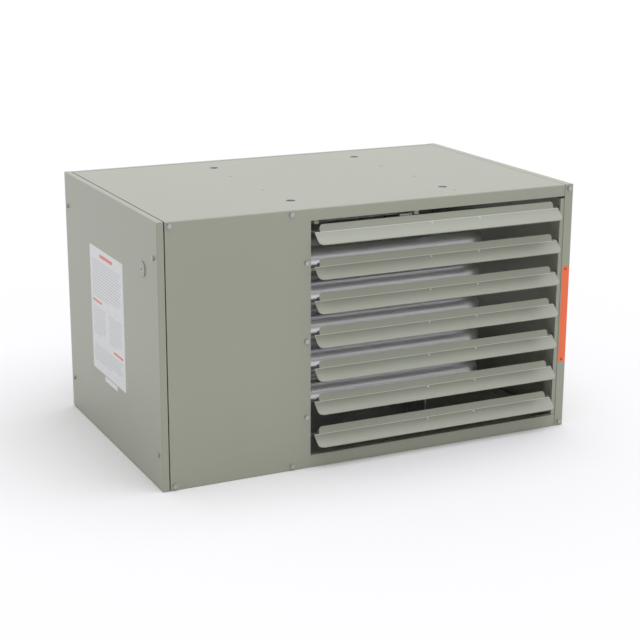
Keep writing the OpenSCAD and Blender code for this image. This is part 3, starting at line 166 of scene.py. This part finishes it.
# %% Floor disc
FLOOR_RADIUS = 40.0
floor_mesh = bpy.data.meshes.new("studio_floor")
disc = bmesh.new()
bmesh.ops.create_circle(disc, cap_ends=True, radius=FLOOR_RADIUS, segments=96)
disc.to_mesh(floor_mesh)
disc.free()
floor = bpy.data.objects.new("studio_floor", floor_mesh)
floor.location.z = -0.5 * MM
bpy.context.scene.collection.objects.link(floor)
paper = bpy.data.materials.new("matt_floor_paper")
paper.use_nodes = True
paper.node_tree.nodes.clear()
matt = add(paper.node_tree, "ShaderNodeBsdfDiffuse", {"Color": linear("#ECEBE9")})
add(paper.node_tree, "ShaderNodeOutputMaterial", {"Surface": matt.outputs[0]})
floor_mesh.materials.append(paper)
print("floor radius", FLOOR_RADIUS, "m")

# %% [markdown]
# ## Powder-coated steel
# The casing and the louvers are cold-rolled steel, sprayed with polyester powder and baked. The
# powder melts into a film with a faint orange peel: waves of about two millimetres that blur
# reflections. The colour hardly varies over a panel. The film could be a flat colour, but then
# long panels look like plastic, so a broad, very weak change of tone and the peel's bump go in.

# %% Sage powder coat
def finish(name, **sockets):
    """A new material with a Principled shader. Returns the material, its tree and the shader."""
    material = bpy.data.materials.new(name)
    material.use_nodes = True
    tree = material.node_tree
    tree.nodes.clear()
    shader = add(tree, "ShaderNodeBsdfPrincipled",
                 {key.replace("_", " "): value for key, value in sockets.items()})
    add(tree, "ShaderNodeOutputMaterial", {"Surface": shader.outputs[0]})
    return material, tree, shader


def feed(tree, shader, socket, output):
    """Links an output to one of the shader's sockets."""
    tree.links.new(output, shader.inputs[socket])


def object_place(tree):
    """The point on the piece, in metres, in the shared frame."""
    return add(tree, "ShaderNodeTexCoord").outputs["Object"]


def tone(tree, value, dark, light):
    """A colour between two hex colours."""
    return add(tree, "ShaderNodeMix", {"Factor": value, 6: linear(dark), 7: linear(light)},
               data_type="RGBA").outputs[2]


ORANGE_PEEL = 2.2 * MM  # width of one wave of the melted film
PANEL_TONE = 260 * MM  # width of the broad changes of tone


def powder_coat(name, dark, light):
    material, tree, shader = finish(name, IOR=1.5, Roughness=0.40, Coat_Weight=0.3,
                                    Coat_Roughness=0.30)
    place = object_place(tree)
    broad = add(tree, "ShaderNodeTexNoise",
                {"Vector": place, "Scale": 1 / PANEL_TONE, "Detail": 2.0, "Roughness": 0.5})
    feed(tree, shader, "Base Color", tone(tree, broad.outputs[0], dark, light))
    peel = add(tree, "ShaderNodeTexNoise",
               {"Vector": place, "Scale": 1 / ORANGE_PEEL, "Detail": 1.0, "Roughness": 0.4})
    gloss = add(tree, "ShaderNodeMapRange",
                {"Value": peel.outputs[0], "To Min": 0.36, "To Max": 0.46})
    feed(tree, shader, "Roughness", gloss.outputs[0])
    bump = add(tree, "ShaderNodeBump", {"Height": peel.outputs[0], "Strength": 0.10,
                                        "Distance": 0.05 * MM})
    feed(tree, shader, "Normal", bump.outputs[0])
    return material


sage_powder_coat = powder_coat("sage_powder_coat", "#909383", "#969989")
# A paler copy of the sage coat: a painted highlight for the rounded folds and the rivet heads.
painted_highlight_coat = powder_coat("painted_highlight_coat", "#CED1C4", "#D6D9CC")
black_powder_coat = powder_coat("black_powder_coat", "#191A1B", "#222324")
print("orange peel every", ORANGE_PEEL / MM, "mm")

# %% [markdown]
# ## Galvanised sheet
# Hidden sheet-metal pieces, such as the wall of the control compartment, are hot-dip galvanised.
# The zinc freezes in flat crystals, called spangle, a few millimetres across, and each mirrors
# the room at a slightly different angle. A cell pattern gives every crystal its own tone and
# roughness, and a metal keeps the default IOR.

# %% Spangled zinc
SPANGLE = 7 * MM


def spangled_zinc(name, dark, light):
    material, tree, shader = finish(name, Metallic=1.0)
    place = object_place(tree)
    cells = add(tree, "ShaderNodeTexVoronoi", {"Vector": place, "Scale": 1 / SPANGLE})
    crystal = add(tree, "ShaderNodeSeparateColor", {"Color": cells.outputs["Color"]})
    feed(tree, shader, "Base Color", tone(tree, crystal.outputs[0], dark, light))
    rough = add(tree, "ShaderNodeMapRange",
                {"Value": crystal.outputs[1], "To Min": 0.32, "To Max": 0.5})
    feed(tree, shader, "Roughness", rough.outputs[0])
    return material


galvanised_sheet = spangled_zinc("galvanised_sheet", "#A9ADAF", "#C3C7C8")
print("spangle every", SPANGLE / MM, "mm")

# %% [markdown]
# ## Drawn and rolled metals
# Tubes of aluminised steel, zinc-plated screws, brass fittings, bright wire and rolled blade
# sheet all show fine lines in the direction in which they were drawn or rolled. Noise that is
# squeezed along one axis makes such lines: they are a tenth of a millimetre wide on the real
# metal, and are drawn at half a millimetre so that they show in a picture of the whole heater.

# %% Drawn metal
DRAWN_LINE = 0.5 * MM
LINE_LENGTH = 60 * MM


def drawn_metal(name, dark, light, roughness, axis):
    """Metal with fine lines along axis 0, 1 or 2."""
    material, tree, shader = finish(name, Metallic=1.0, Roughness=roughness)
    scales = [1 / DRAWN_LINE] * 3
    scales[axis] = 1 / LINE_LENGTH
    stretched = add(tree, "ShaderNodeMapping", {"Vector": object_place(tree), "Scale": scales})
    lines = add(tree, "ShaderNodeTexNoise",
                {"Vector": stretched.outputs[0], "Scale": 1.0, "Detail": 2.0})
    feed(tree, shader, "Base Color", tone(tree, lines.outputs[0], dark, light))
    spread = add(tree, "ShaderNodeMapRange", {"Value": lines.outputs[0],
                                              "To Min": roughness - 0.05,
                                              "To Max": roughness + 0.05})
    feed(tree, shader, "Roughness", spread.outputs[0])
    return material


aluminised_tube = drawn_metal("aluminised_tube", "#E2E2E6", "#EAEAED", 0.39, 0)
zinc_plate = drawn_metal("zinc_plate", "#B4B7BA", "#CDD0D2", 0.30, 2)
dulled_zinc = drawn_metal("dulled_zinc", "#A1A3A0", "#B6B7B3", 0.42, 2)
machined_brass = drawn_metal("machined_brass", "#B08D4B", "#CBAA66", 0.30, 0)
spring_steel = drawn_metal("spring_steel", "#606366", "#74777A", 0.40, 0)
bright_wire = drawn_metal("bright_wire", "#C2C4C6", "#DCDDDE", 0.24, 0)
rolled_aluminium = drawn_metal("rolled_aluminium", "#B6B9BB", "#CACCCE", 0.38, 2)
aluminised_sheet = drawn_metal("aluminised_sheet", "#A4A6A6", "#BDBFBF", 0.40, 0)
steel_laminations = drawn_metal("steel_laminations", "#75787B", "#94979A", 0.42, 1)
print("drawn lines every", DRAWN_LINE / MM, "mm")

# %% [markdown]
# ## Castings
# The gas valve's body and the motor's end are cast in a light alloy and shot blasted. A casting
# has a fine, even grain and no lines, so plain noise of about one millimetre makes its bump.

# %% Cast alloy
CAST_GRAIN = 1.2 * MM
cast_alloy, tree, shader = finish("cast_alloy", Metallic=1.0, Roughness=0.48)
grain = add(tree, "ShaderNodeTexNoise", {"Vector": object_place(tree),
                                         "Scale": 1 / CAST_GRAIN, "Detail": 3.0})
feed(tree, shader, "Base Color", tone(tree, grain.outputs[0], "#9B9EA1", "#B9BCBE"))
feed(tree, shader, "Normal", add(tree, "ShaderNodeBump",
                                 {"Height": grain.outputs[0], "Strength": 0.35,
                                  "Distance": 0.2 * MM}).outputs[0])
print("cast grain", CAST_GRAIN / MM, "mm")

# %% [markdown]
# ## Enamels and black pipe
# Motor shells are dipped in a satin enamel, and gas pipe is left with a thin black oxide under
# oil. Both are dark coats with soft highlights, and differ in how much their gloss wanders.

# %% Dark coats
COAT_WAVE = 18 * MM


def dark_coat(name, dark, light, smooth, dull):
    material, tree, shader = finish(name, IOR=1.5)
    wave = add(tree, "ShaderNodeTexNoise", {"Vector": object_place(tree),
                                            "Scale": 1 / COAT_WAVE, "Detail": 4.0})
    feed(tree, shader, "Base Color", tone(tree, wave.outputs[0], dark, light))
    gloss = add(tree, "ShaderNodeMapRange",
                {"Value": wave.outputs[0], "To Min": smooth, "To Max": dull})
    feed(tree, shader, "Roughness", gloss.outputs[0])
    return material


dark_enamel = dark_coat("dark_enamel", "#2A2C2E", "#34363A", 0.30, 0.42)
motor_enamel = dark_coat("motor_enamel", "#3A3D40", "#464A4D", 0.32, 0.45)
black_pipe = dark_coat("oxide_black_pipe", "#1D1C1B", "#2B2928", 0.38, 0.58)
print("coat tone changes every", COAT_WAVE / MM, "mm")

# %% [markdown]
# ## Moulded parts
# The valve's knob, the switches, the relays and the sleeves are injection moulded, the hose is
# extruded silicone rubber, and the igniter's insulator is glazed ceramic. Moulds are spark
# eroded, which leaves a fine grain of about half a millimetre on the plastic.

# %% Moulded plastic, rubber and ceramic
MOULD_GRAIN = 0.6 * MM


def moulded(name, dark, light, roughness, relief):
    material, tree, shader = finish(name, IOR=1.49, Roughness=roughness)
    grain = add(tree, "ShaderNodeTexNoise", {"Vector": object_place(tree),
                                             "Scale": 1 / MOULD_GRAIN, "Detail": 1.0})
    feed(tree, shader, "Base Color", tone(tree, grain.outputs[0], dark, light))
    feed(tree, shader, "Normal", add(tree, "ShaderNodeBump",
                                     {"Height": grain.outputs[0], "Strength": relief,
                                      "Distance": 0.05 * MM}).outputs[0])
    return material


knob_plastic = moulded("knob_plastic", "#B3261E", "#BC2E25", 0.38, 0.15)
ivory_plastic = moulded("ivory_plastic", "#D9D3C3", "#E0DACB", 0.42, 0.15)
black_plastic = moulded("black_plastic", "#1B1B1C", "#242425", 0.40, 0.20)
silicone_rubber = moulded("silicone_rubber", "#C9702B", "#D37A33", 0.55, 0.10)
glazed_ceramic = moulded("glazed_ceramic", "#E6E1D6", "#EEEAE1", 0.16, 0.03)
board_laminate = moulded("board_laminate", "#1E5A3C", "#256845", 0.36, 0.05)
print("mould grain", MOULD_GRAIN / MM, "mm")

# %% [markdown]
# ## Finishes on the CAD nodes
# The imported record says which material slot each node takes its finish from, so the finishes
# can be handed out by slot and no list of nodes has to be kept here. The CAD meshes keep their
# shape. Only their shading is made smooth, with creases kept where faces meet at an angle.

# %% Hand out the finishes
SLOT_FINISH = {
    "sage_paint": sage_powder_coat, "galvanised_steel": galvanised_sheet,
    "zinc_plate": zinc_plate, "aluminised_tube": aluminised_tube,
    "burner_steel": aluminised_sheet, "bright_wire": bright_wire, "black_pipe": black_pipe,
    "brass": machined_brass, "cast_alloy": cast_alloy, "knob_plastic": knob_plastic,
    "ceramic": glazed_ceramic, "switch_plastic": ivory_plastic,
    "black_plastic": black_plastic, "dark_enamel": dark_enamel, "motor_enamel": motor_enamel,
    "hose_rubber": silicone_rubber, "board_green": board_laminate,
    "core_steel": steel_laminations, "blade_aluminium": rolled_aluminium,
    "guard_wire": black_powder_coat,
}
CREASE = math.radians(28)
for part in frame["record"]["subparts"]:
    mesh = nodes[part["node"]].data
    mesh.materials.clear()
    mesh.materials.append(SLOT_FINISH[part["material_slot"]])
    mesh.polygons.foreach_set("use_smooth", [True] * len(mesh.polygons))
    mesh.set_sharp_from_angle(angle=CREASE)
# The screws in the casing have been handled and have lost their shine.
nodes["casing_screws"].data.materials[0] = dulled_zinc
# The louvers' springs and pins are oiled spring steel, unlike the bright sensor coil.
for name in ("louver_springs", "louver_pivot_pins"):
    nodes[name].data.materials[0] = spring_steel

# %% [markdown]
# ## Tools for thin trim
# Trim is what CAD leaves out because it carries nothing: stickers, the rounded outside of a
# bend, rivet heads, spot-weld marks, threads. Each is a thin mesh that lies on a CAD piece. Its
# place can be typed in, but a ray shot at the piece finds the surface exactly, so the trim
# touches it even where a panel is bent. All sizes below are in millimetres.

# %% Helpers that place and make trim
FAR = 600.0  # outside the heater on every side


def landing(node, origin, direction):
    """Where a straight line first meets a CAD piece, in millimetres, and the normal there."""
    hit, place, normal, _ = nodes[node].ray_cast(Vector(origin) * MM, Vector(direction))
    if not hit:
        raise ValueError(f"{node} isn't in line with {origin}")
    return place / MM, normal


def trim(name, body, material, build):
    """A new mesh piece on a body. build() fills the mesh, in millimetres."""
    form = bmesh.new()
    build(form)
    bmesh.ops.scale(form, vec=(MM, MM, MM), verts=form.verts)
    bmesh.ops.recalc_face_normals(form, faces=form.faces)
    mesh = bpy.data.meshes.new(name)
    form.to_mesh(mesh)
    form.free()
    mesh.materials.append(material)
    mesh.polygons.foreach_set("use_smooth", [True] * len(mesh.polygons))
    mesh.set_sharp_from_angle(angle=CREASE)
    made = bpy.data.objects.new(name, mesh)
    bpy.context.scene.collection.objects.link(made)
    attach(made, body)
    return made


print("trim is shaded smooth, with creases from", round(math.degrees(CREASE)), "degrees")

# %% [markdown]
# ## Plates
# Stickers and printed lines are cut or squeezed from flat film. All of them are the same form,
# a thin plate with square or rounded corners. A cube that is scaled flat would do for the
# square ones, but one outline with an arc in each corner serves for both.

# %% Thin plates
CORNER_STEPS = 6  # facets of a rounded corner


def plate(form, corner, across, up, size, thickness, radius=0.0):
    """A thin rounded plate. Its lower corner, two unit directions and its size place it."""
    across, up = Vector(across), Vector(up)
    out = across.cross(up)
    steps = CORNER_STEPS if radius else 0
    outline = []
    for index, (u, v) in enumerate(((1, 0), (1, 1), (0, 1), (0, 0))):
        centre = (size[0] - radius if u else radius, size[1] - radius if v else radius)
        for step in range(steps + 1):
            angle = math.radians(90 * (index - 1) + 90 * (step / steps if steps else 0.5))
            outline.append((centre[0] + radius * math.cos(angle),
                            centre[1] + radius * math.sin(angle)))
    low = [form.verts.new(Vector(corner) + across * u + up * v) for u, v in outline]
    high = [form.verts.new(vert.co + out * thickness) for vert in low]
    form.faces.new(low[::-1])
    form.faces.new(high)
    for a in range(len(low)):
        b = (a + 1) % len(low)
        form.faces.new((low[a], low[b], high[b], high[a]))


print("rounded corners have", CORNER_STEPS, "facets")

# %% [markdown]
# ## Turned forms and bars
# Rivet heads, nuts, eyelets and weld marks are all round about an axis, so a short profile of
# radius and height that is swept round the axis gives each of them, and six steps instead of
# twenty give a hexagon nut. A bead along a bend is a bar: one section, drawn out along X.

# %% Turned forms and bars
def turned(form, base, axis, profile, segments=24):
    """A closed round form about an axis, from a profile of (radius, height) points."""
    turn = Vector((0, 0, 1)).rotation_difference(Vector(axis)).to_matrix()
    rings = []
    for radius, height in profile:
        if radius == 0:
            rings.append([form.verts.new(Vector(base) + turn @ Vector((0, 0, height)))])
        else:
            rings.append([form.verts.new(Vector(base) + turn @ Vector(
                (radius * math.cos(math.tau * k / segments),
                 radius * math.sin(math.tau * k / segments), height))) for k in range(segments)])
    for low, high in zip(rings, rings[1:]):
        for k in range(segments):
            n = (k + 1) % segments
            corners = [ring[spot % len(ring)]
                       for ring, spot in ((low, k), (low, n), (high, n), (high, k))]
            form.faces.new(list(dict.fromkeys(corners)))
    if len(rings[-1]) > 1:
        form.faces.new(rings[-1])
    if len(rings[0]) > 1:
        form.faces.new(rings[0][::-1])


def along_x(form, section, x_low, x_high):
    """A bar along X with a closed section of (y, z) points."""
    ends = [[form.verts.new((x, y, z)) for y, z in section] for x in (x_low, x_high)]
    form.faces.new(ends[0])
    form.faces.new(ends[1][::-1])
    for a in range(len(section)):
        b = (a + 1) % len(section)
        form.faces.new((ends[0][a], ends[0][b], ends[1][b], ends[1][a]))


print("trim forms: plate, turned, along_x")

# %% [markdown]
# ## Printed vinyl
# The data sticker is calendered vinyl film, screen printed. Vinyl has a satin surface that dips
# slightly where the adhesive under it is uneven, over a few centimetres. The print is only ruled
# lines and plain blocks. Ink could be painted in the material, but thin ink layers keep sharp
# edges at any distance, so the print is made as plates two hundredths of a millimetre thick.

# %% Vinyl and ink
ADHESIVE_WAVE = 25 * MM


def vinyl(name, dark, light, roughness):
    material, tree, shader = finish(name, IOR=1.52)
    wave = add(tree, "ShaderNodeTexNoise", {"Vector": object_place(tree),
                                            "Scale": 1 / ADHESIVE_WAVE, "Detail": 3.0})
    feed(tree, shader, "Base Color", tone(tree, wave.outputs[0], dark, light))
    gloss = add(tree, "ShaderNodeMapRange", {"Value": wave.outputs[0],
                                             "To Min": roughness - 0.05,
                                             "To Max": roughness + 0.05})
    feed(tree, shader, "Roughness", gloss.outputs[0])
    feed(tree, shader, "Normal", add(tree, "ShaderNodeBump",
                                     {"Height": wave.outputs[0], "Strength": 0.3,
                                      "Distance": 0.3 * MM}).outputs[0])
    return material


white_vinyl = vinyl("white_vinyl", "#CFD1D1", "#D9DADA", 0.38)
grey_ink = vinyl("grey_ink", "#B4B6B7", "#BCBEBF", 0.45)
orange_ink = vinyl("orange_ink", "#D2705A", "#D97A64", 0.42)
rust_plastic = vinyl("rust_plastic", "#8A3F26", "#96482E", 0.40)
orange_vinyl = vinyl("orange_vinyl", "#E8663A", "#F0703F", 0.36)
print("adhesive waves every", ADHESIVE_WAVE / MM, "mm")

# %% [markdown]
# ## Sticker on the access panel
# A heater of this kind carries a tall sheet of small print on its access panel. This one stays
# plain: lines in groups with a ragged right edge read as text from afar, and a few blocks break
# them up. The film lies on the panel and the ink on the film, so no two faces share a plane.

# %% Sticker on the access panel
STICKER = (181.0, 231.0)  # width and height
STICKER_CORNER = (107.0, 120.0)  # Y and Z of its lower rear corner
FILM = 0.12
INK = 0.03
panel_x = landing("left_access_panel", (-FAR, 0, 240), (1, 0, 0))[0].x
FORWARD, UPWARD = (0, -1, 0), (0, 0, 1)


def on_sticker(form, u, v, width, height, lift=FILM, thickness=INK):
    plate(form, (panel_x - lift, STICKER_CORNER[0] - u, STICKER_CORNER[1] + v), FORWARD, UPWARD,
          (width, height), thickness)


LINE, LINE_STEP = 1.7, 5.4
LAST_LINE, LINE_RAGGED = 0.6, 0.04  # shares of the full width
RULED_GROUPS = ((10, 160, 205, 13), (10, 72, 118, 10), (98, 72, 118, 10), (10, 160, 46, 6))


def ruled_lines(form):
    """Groups of lines: from the left, width, top line, number. The last line is short."""
    for u, width, top, count in RULED_GROUPS:
        for row in range(count):
            share = LAST_LINE if row == count - 1 else 1.0 - LINE_RAGGED * (row * 7 % 3)
            on_sticker(form, u, top - LINE_STEP * row, width * share, LINE)


BLOCKS = ((56, 216, 70, 6), (10, 129, 50, 4), (120, 55, 50, 4))  # left, low, width, height


def sticker_blocks(form):
    for u, v, width, height in BLOCKS:
        on_sticker(form, u, v, width, height)


TAIL, TAIL_CORNER = (68.0, 9.0), (42.0, 109.0)  # a small second sticker below


def sticker_film(form):
    plate(form, (panel_x, *STICKER_CORNER), FORWARD, UPWARD, STICKER, FILM, 3)
    plate(form, (panel_x, *TAIL_CORNER), FORWARD, UPWARD, TAIL, FILM, 1)


trim("sticker_film", "casing", white_vinyl, sticker_film)
trim("sticker_ruled_lines", "casing", grey_ink, ruled_lines)
trim("sticker_blocks", "casing", orange_ink, sticker_blocks)
print("sticker on the plane x =", round(panel_x, 2))

# %% [markdown]
# ## A plain strip round the front edge
# The right-hand front edge carries a plain orange strip. Vinyl follows a bend, so its columns of
# points are dropped onto the panel one by one, and the film is thickened outwards from there.

# %% Orange strip
STRIP_Z = (124.0, 305.5)
STRIP_X = (380.5, 383, 386, 389, 391.5, 393, 394.2, 395.2, 396)


def strip_film(form):
    rows = []
    for z in STRIP_Z:
        touch = [landing("right_side_panel", (x, -FAR, z), (0, 1, 0))[0] for x in STRIP_X]
        rows.append([form.verts.new(point) for point in touch])
        rows.append([form.verts.new(point - Vector((0, FILM, 0))) for point in touch])
    low, low_out, high, high_out = rows
    for a in range(len(STRIP_X) - 1):
        form.faces.new((low_out[a], low_out[a + 1], high_out[a + 1], high_out[a]))
        form.faces.new((low[a + 1], low[a], high[a], high[a + 1]))
        for base, lifted in ((low, low_out), (high, high_out)):
            form.faces.new((base[a], base[a + 1], lifted[a + 1], lifted[a]))
    for a in (0, -1):
        form.faces.new((low[a], low_out[a], high_out[a], high[a]))


STRIP_RIVET = [(2.3, -0.2), (2.3, 0.4), (1.8, 0.8), (0, 1.0)]
STRIP_RIVET_X, STRIP_RIVET_IN = 387.0, 5.0


def strip_rivets(form):
    for z in (STRIP_Z[0] + STRIP_RIVET_IN, STRIP_Z[1] - STRIP_RIVET_IN):
        place, normal = landing("right_side_panel", (STRIP_RIVET_X, -FAR, z), (0, 1, 0))
        turned(form, place, normal, STRIP_RIVET, 18)


trim("edge_strip", "casing", orange_vinyl, strip_film)
trim("edge_strip_rivets", "casing", rust_plastic, strip_rivets)
print("strip", STRIP_Z[1] - STRIP_Z[0], "mm long")

# %% [markdown]
# ## Rounded bends on the louvers
# Each louver is one bent sheet. A press brake rounds the outside of the fold and of the hem, and
# the round catches the overhead light as a thin pale line, while a CAD corner is sharp and
# catches nothing. A bevel would change the CAD mesh, which has to stay as it is, so a slim
# round bead is laid into each corner and rides on the louver. The hem's bead takes the louver's
# own paint. The fold's bead is painted pale, a painted highlight for the light the round
# catches.

# %% Beads along the folds and hems
LOUVER_SLOPE = math.radians(40)
LEAF, SHEET = 26.0, 1.2
CORNER_ROUND = 9.0  # the lower leaf's rounded corners
PIVOT_BEHIND_FOLD = 7.0
BEAD, BEAD_SINK = 0.75, 0.35  # radius, and how far it lies inside the fold
BEAD_SHORT = 0.4  # left free at each end
HEM_BEAD, HEM_BEAD_IN = 1.25, 0.5
louver_pivots = {joint["child"]: Vector(joint["pos_m"]) / MM
                 for joint in frame["record"]["behaviour"]["joints"]
                 if joint["child"].startswith("louver_")}
folds = {name: (pivot.y - PIVOT_BEHIND_FOLD, pivot.z) for name, pivot in louver_pivots.items()}
LEAF_DOWN = Vector((-math.cos(LOUVER_SLOPE), -math.sin(LOUVER_SLOPE)))  # in Y and Z
LEAF_OUT = Vector((-math.sin(LOUVER_SLOPE), math.cos(LOUVER_SLOPE)))


def round_section(centre, radius, steps=12):
    return [(centre[0] + radius * math.cos(math.tau * k / steps),
             centre[1] + radius * math.sin(math.tau * k / steps)) for k in range(steps)]


for name, fold in folds.items():
    low, high = (corner / MM for corner in map(Vector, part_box(name)))
    middle = Vector(fold) + Vector((BEAD_SINK, -BEAD_SINK))
    tip = Vector(fold) + LEAF_DOWN * LEAF - LEAF_OUT * SHEET

    def fold_bead(form):
        along_x(form, round_section(middle, BEAD), low.x + BEAD_SHORT, high.x - BEAD_SHORT)

    def hem_bead(form):
        along_x(form, round_section(tip - LEAF_DOWN * HEM_BEAD_IN, HEM_BEAD),
                low.x + CORNER_ROUND, high.x - CORNER_ROUND)

    # The fold's bead takes the pale coat, a painted highlight along the bend.
    trim(f"{name}_fold", name, painted_highlight_coat, fold_bead)
    trim(f"{name}_hem", name, sage_powder_coat, hem_bead)
print("beads on", len(folds), "louvers")

# %% [markdown]
# ## Rivets on the louvers
# Two small rivets sit close under the fold of each louver. Their heads stand square to the
# sloping leaf, and they are painted pale, a painted highlight on each head.

# %% Rivets on the louvers
RIVET_X = (104.0, 200.0)
RIVET_BELOW_FOLD = 3.2
RIVET = [(1.7, -0.3), (1.7, 0.25), (1.4, 0.6), (0.8, 0.85), (0, 0.9)]
leaf_normal = (0, LEAF_OUT.x, LEAF_OUT.y)
for name, fold in folds.items():
    place = Vector(fold) + LEAF_DOWN * RIVET_BELOW_FOLD

    def rivets(form):
        for x in RIVET_X:
            turned(form, (x, place.x, place.y), leaf_normal, RIVET, 16)

    # The rivet heads take the pale coat, painted highlights on the heads.
    trim(f"{name}_rivets", name, painted_highlight_coat, rivets)
print("rivets at x =", RIVET_X)

# %% [markdown]
# ## Spot welds in the top
# The channels under the top sheet are spot welded to it. A weld leaves a shallow ring, raised by
# about a tenth of a millimetre round a flat, that still shows through the powder coat.

# %% Spot-weld marks
SPOTS = ((-134, 76), (-134, -72), (169, 59), (173, -65), (171, -212))
SPOT_RING = [(4.2, -0.2), (4.0, 0.04), (3.2, 0.28), (2.5, 0.24), (2.0, 0.06), (0, 0.03)]
# The ring is painted darker than the top sheet round it.
darker_ring_coat = powder_coat("darker_ring_coat", "#7A7D70", "#828577")


def spots(form):
    for x, y in SPOTS:
        place, normal = landing("front_and_top_sheet", (x, y, FAR), (0, 0, -1))
        turned(form, place, normal, SPOT_RING, 20)


trim("spot_weld_marks", "casing", darker_ring_coat, spots)
print(len(SPOTS), "spot-weld marks")

# %% [markdown]
# ## Sight port
# A small window in the access panel lets a fitter see the flame. It is a disc of mica under a
# turned eyelet: the mica is brownish and clear, and the eyelet is bright plated steel.

# %% Mica window and eyelet
mica, tree, shader = finish("mica_sheet", IOR=1.58, Roughness=0.12)
MICA_LAYER = 3 * MM
layers = add(tree, "ShaderNodeTexNoise", {"Vector": object_place(tree), "Scale": 1 / MICA_LAYER})
feed(tree, shader, "Base Color", tone(tree, layers.outputs[0], "#4A4033", "#5E5344"))
PORT_Y, PORT_Z = -178.0, 366.0
BESIDE_HOLE = 8.0  # the ray lands on the dished sheet beside the hole
port_x = landing("left_access_panel", (-FAR, PORT_Y + BESIDE_HOLE, PORT_Z), (1, 0, 0))[0].x
MICA = [(0, 0), (4.4, 0), (4.4, 0.3), (0, 0.3)]
MICA_SINK = 0.4
EYELET = [(4.0, -0.6), (4.0, 0.3), (4.3, 0.6), (5.0, 0.6), (5.6, 0.3), (5.6, -0.2)]


def window(form):
    turned(form, (port_x + MICA_SINK, PORT_Y, PORT_Z), (-1, 0, 0), MICA, 32)


def eyelet(form):
    turned(form, (port_x, PORT_Y, PORT_Z), (-1, 0, 0), EYELET, 32)


trim("sight_port_window", "casing", mica, window)
trim("sight_port_eyelet", "casing", zinc_plate, eyelet)
print("sight port at x =", round(port_x, 1))

# %% [markdown]
# ## Blade rivets
# Each blade is held to its arm of the spider by four rivets. The blades are curved and pitched,
# so the ray that finds the surface also gives the direction in which each rivet's head stands.

# %% Blade rivets
fan = Vector(next(joint["pos_m"] for joint in frame["record"]["behaviour"]["joints"]
                  if joint["child"] == "fan")) / MM
BLADE_RIVET = [(3.6, -0.8), (3.6, 0.4), (3.0, 1.2), (1.7, 1.9), (0, 2.1)]
BLADES = 4
RIVETS_ON_ARM = ((44, -8), (44, 8), (68, -8), (68, 8))  # along and across the arm


def blade_rivets(form):
    for blade in range(BLADES):
        turn = math.radians(360 / BLADES * blade)
        for reach, side in RIVETS_ON_ARM:
            x = fan.x + reach * math.cos(turn) - side * math.sin(turn)
            z = fan.z - (reach * math.sin(turn) + side * math.cos(turn))
            place, normal = landing("fan_propeller", (x, FAR, z), (0, -1, 0))
            turned(form, place, normal, BLADE_RIVET, 18)


trim("blade_rivets", "fan", rolled_aluminium, blade_rivets)
print("blade rivets:", BLADES * len(RIVETS_ON_ARM))

# %% [markdown]
# ## Motor nuts
# The motor's two ends are drawn together by four long bolts, with nuts at the back. They stand
# between the blades' arms, on a circle about the fan's axis, as the guard's clips do later, so
# one helper gives the four places for both.

# %% Motor nuts
NUT_RADIUS = 44.0
NUT = [(4.6, -0.5), (4.6, 3.6), (3.9, 4.2), (2.4, 4.2), (2.4, 6.2), (1.9, 6.8), (0, 6.8)]


def four_round_fan(radius):
    """Four points on the diagonals about the fan's axis, behind the heater."""
    turns = [math.radians(45 + 90 * k) for k in range(4)]
    return [(fan.x + radius * math.cos(turn), FAR, fan.z + radius * math.sin(turn))
            for turn in turns]


def motor_nuts(form):
    for spot in four_round_fan(NUT_RADIUS):
        place, normal = landing("fan_motor", spot, (0, -1, 0))
        turned(form, place, normal, NUT, 6)


trim("motor_nuts", "casing", zinc_plate, motor_nuts)
print("motor nuts: 4")

# %% [markdown]
# ## Guard clips
# Round discs on short spacers hold the guard's first ring to the rear panel. Their places could
# be typed in, but they follow from the ring's box: outside it by the spacer's radius.

# %% Clips of the guard
guard_low, guard_high = (corner / MM for corner in map(Vector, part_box("fan_guard_side")))
WIRE = 5.0
SPACER = 4.0
CLIP = [(SPACER, 0), (SPACER, WIRE), (9.0, WIRE), (9.0, WIRE + 1.2), (4.2, WIRE + 1.2),
        (4.2, WIRE + 3.0), (3.2, WIRE + 3.8), (0, WIRE + 4.0)]
ring_radius = (guard_high.x - guard_low.x) / 2


def clips(form):
    for spot in four_round_fan(ring_radius + SPACER):
        place, normal = landing("rear_panel", spot, (0, -1, 0))
        turned(form, place, normal, CLIP, 28)


trim("guard_clips", "casing", zinc_plate, clips)
print("guard ring radius", round(ring_radius, 1), "mm")

# %% [markdown]
# ## Pipe thread
# The gas pipe ends in a half-inch taper thread with 14 turns to the inch. Stacked rings would
# look the same from afar, but a true helix is only a strip of three points per step (root,
# crest, root), and it fades out at both ends as a cut thread does.

# %% Thread on the gas pipe
THREAD_PITCH = 25.4 / 14
ROOT, CREST = 10.2, 10.75
THREAD_START, THREAD_END_GAP, THREAD_STEPS = 253.0, 0.4, 36
FLANK = 0.48  # share of the pitch from a root to its crest
pipe_low, pipe_high = (corner / MM for corner in map(Vector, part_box("gas_supply_pipe")))
pipe_x, pipe_z = (pipe_low.x + pipe_high.x) / 2, (pipe_low.z + pipe_high.z) / 2


def thread(form):
    length = pipe_high.y - THREAD_END_GAP - THREAD_START - THREAD_PITCH
    steps = int(length / THREAD_PITCH * THREAD_STEPS)
    rows = []
    for step in range(steps + 1):
        turns = step / THREAD_STEPS
        turn = math.tau * turns
        fade = min(1.0, turns, (steps - step) / THREAD_STEPS)
        y = THREAD_START + THREAD_PITCH * turns
        rows.append([form.verts.new((pipe_x + r * math.cos(turn), y + THREAD_PITCH * share,
                                     pipe_z + r * math.sin(turn)))
                     for share, r in ((0.5 - FLANK, ROOT), (0.5, ROOT + (CREST - ROOT) * fade),
                                      (0.5 + FLANK, ROOT))])
    for a, b in zip(rows, rows[1:]):
        for k in (0, 1, 2):
            n = (k + 1) % 3
            form.faces.new((a[k], a[n], b[n], b[k]))
    form.faces.new(rows[0][::-1])
    form.faces.new(rows[-1])


trim("gas_pipe_thread", "casing", black_pipe, thread)
print("thread pitch", round(THREAD_PITCH, 2), "mm")
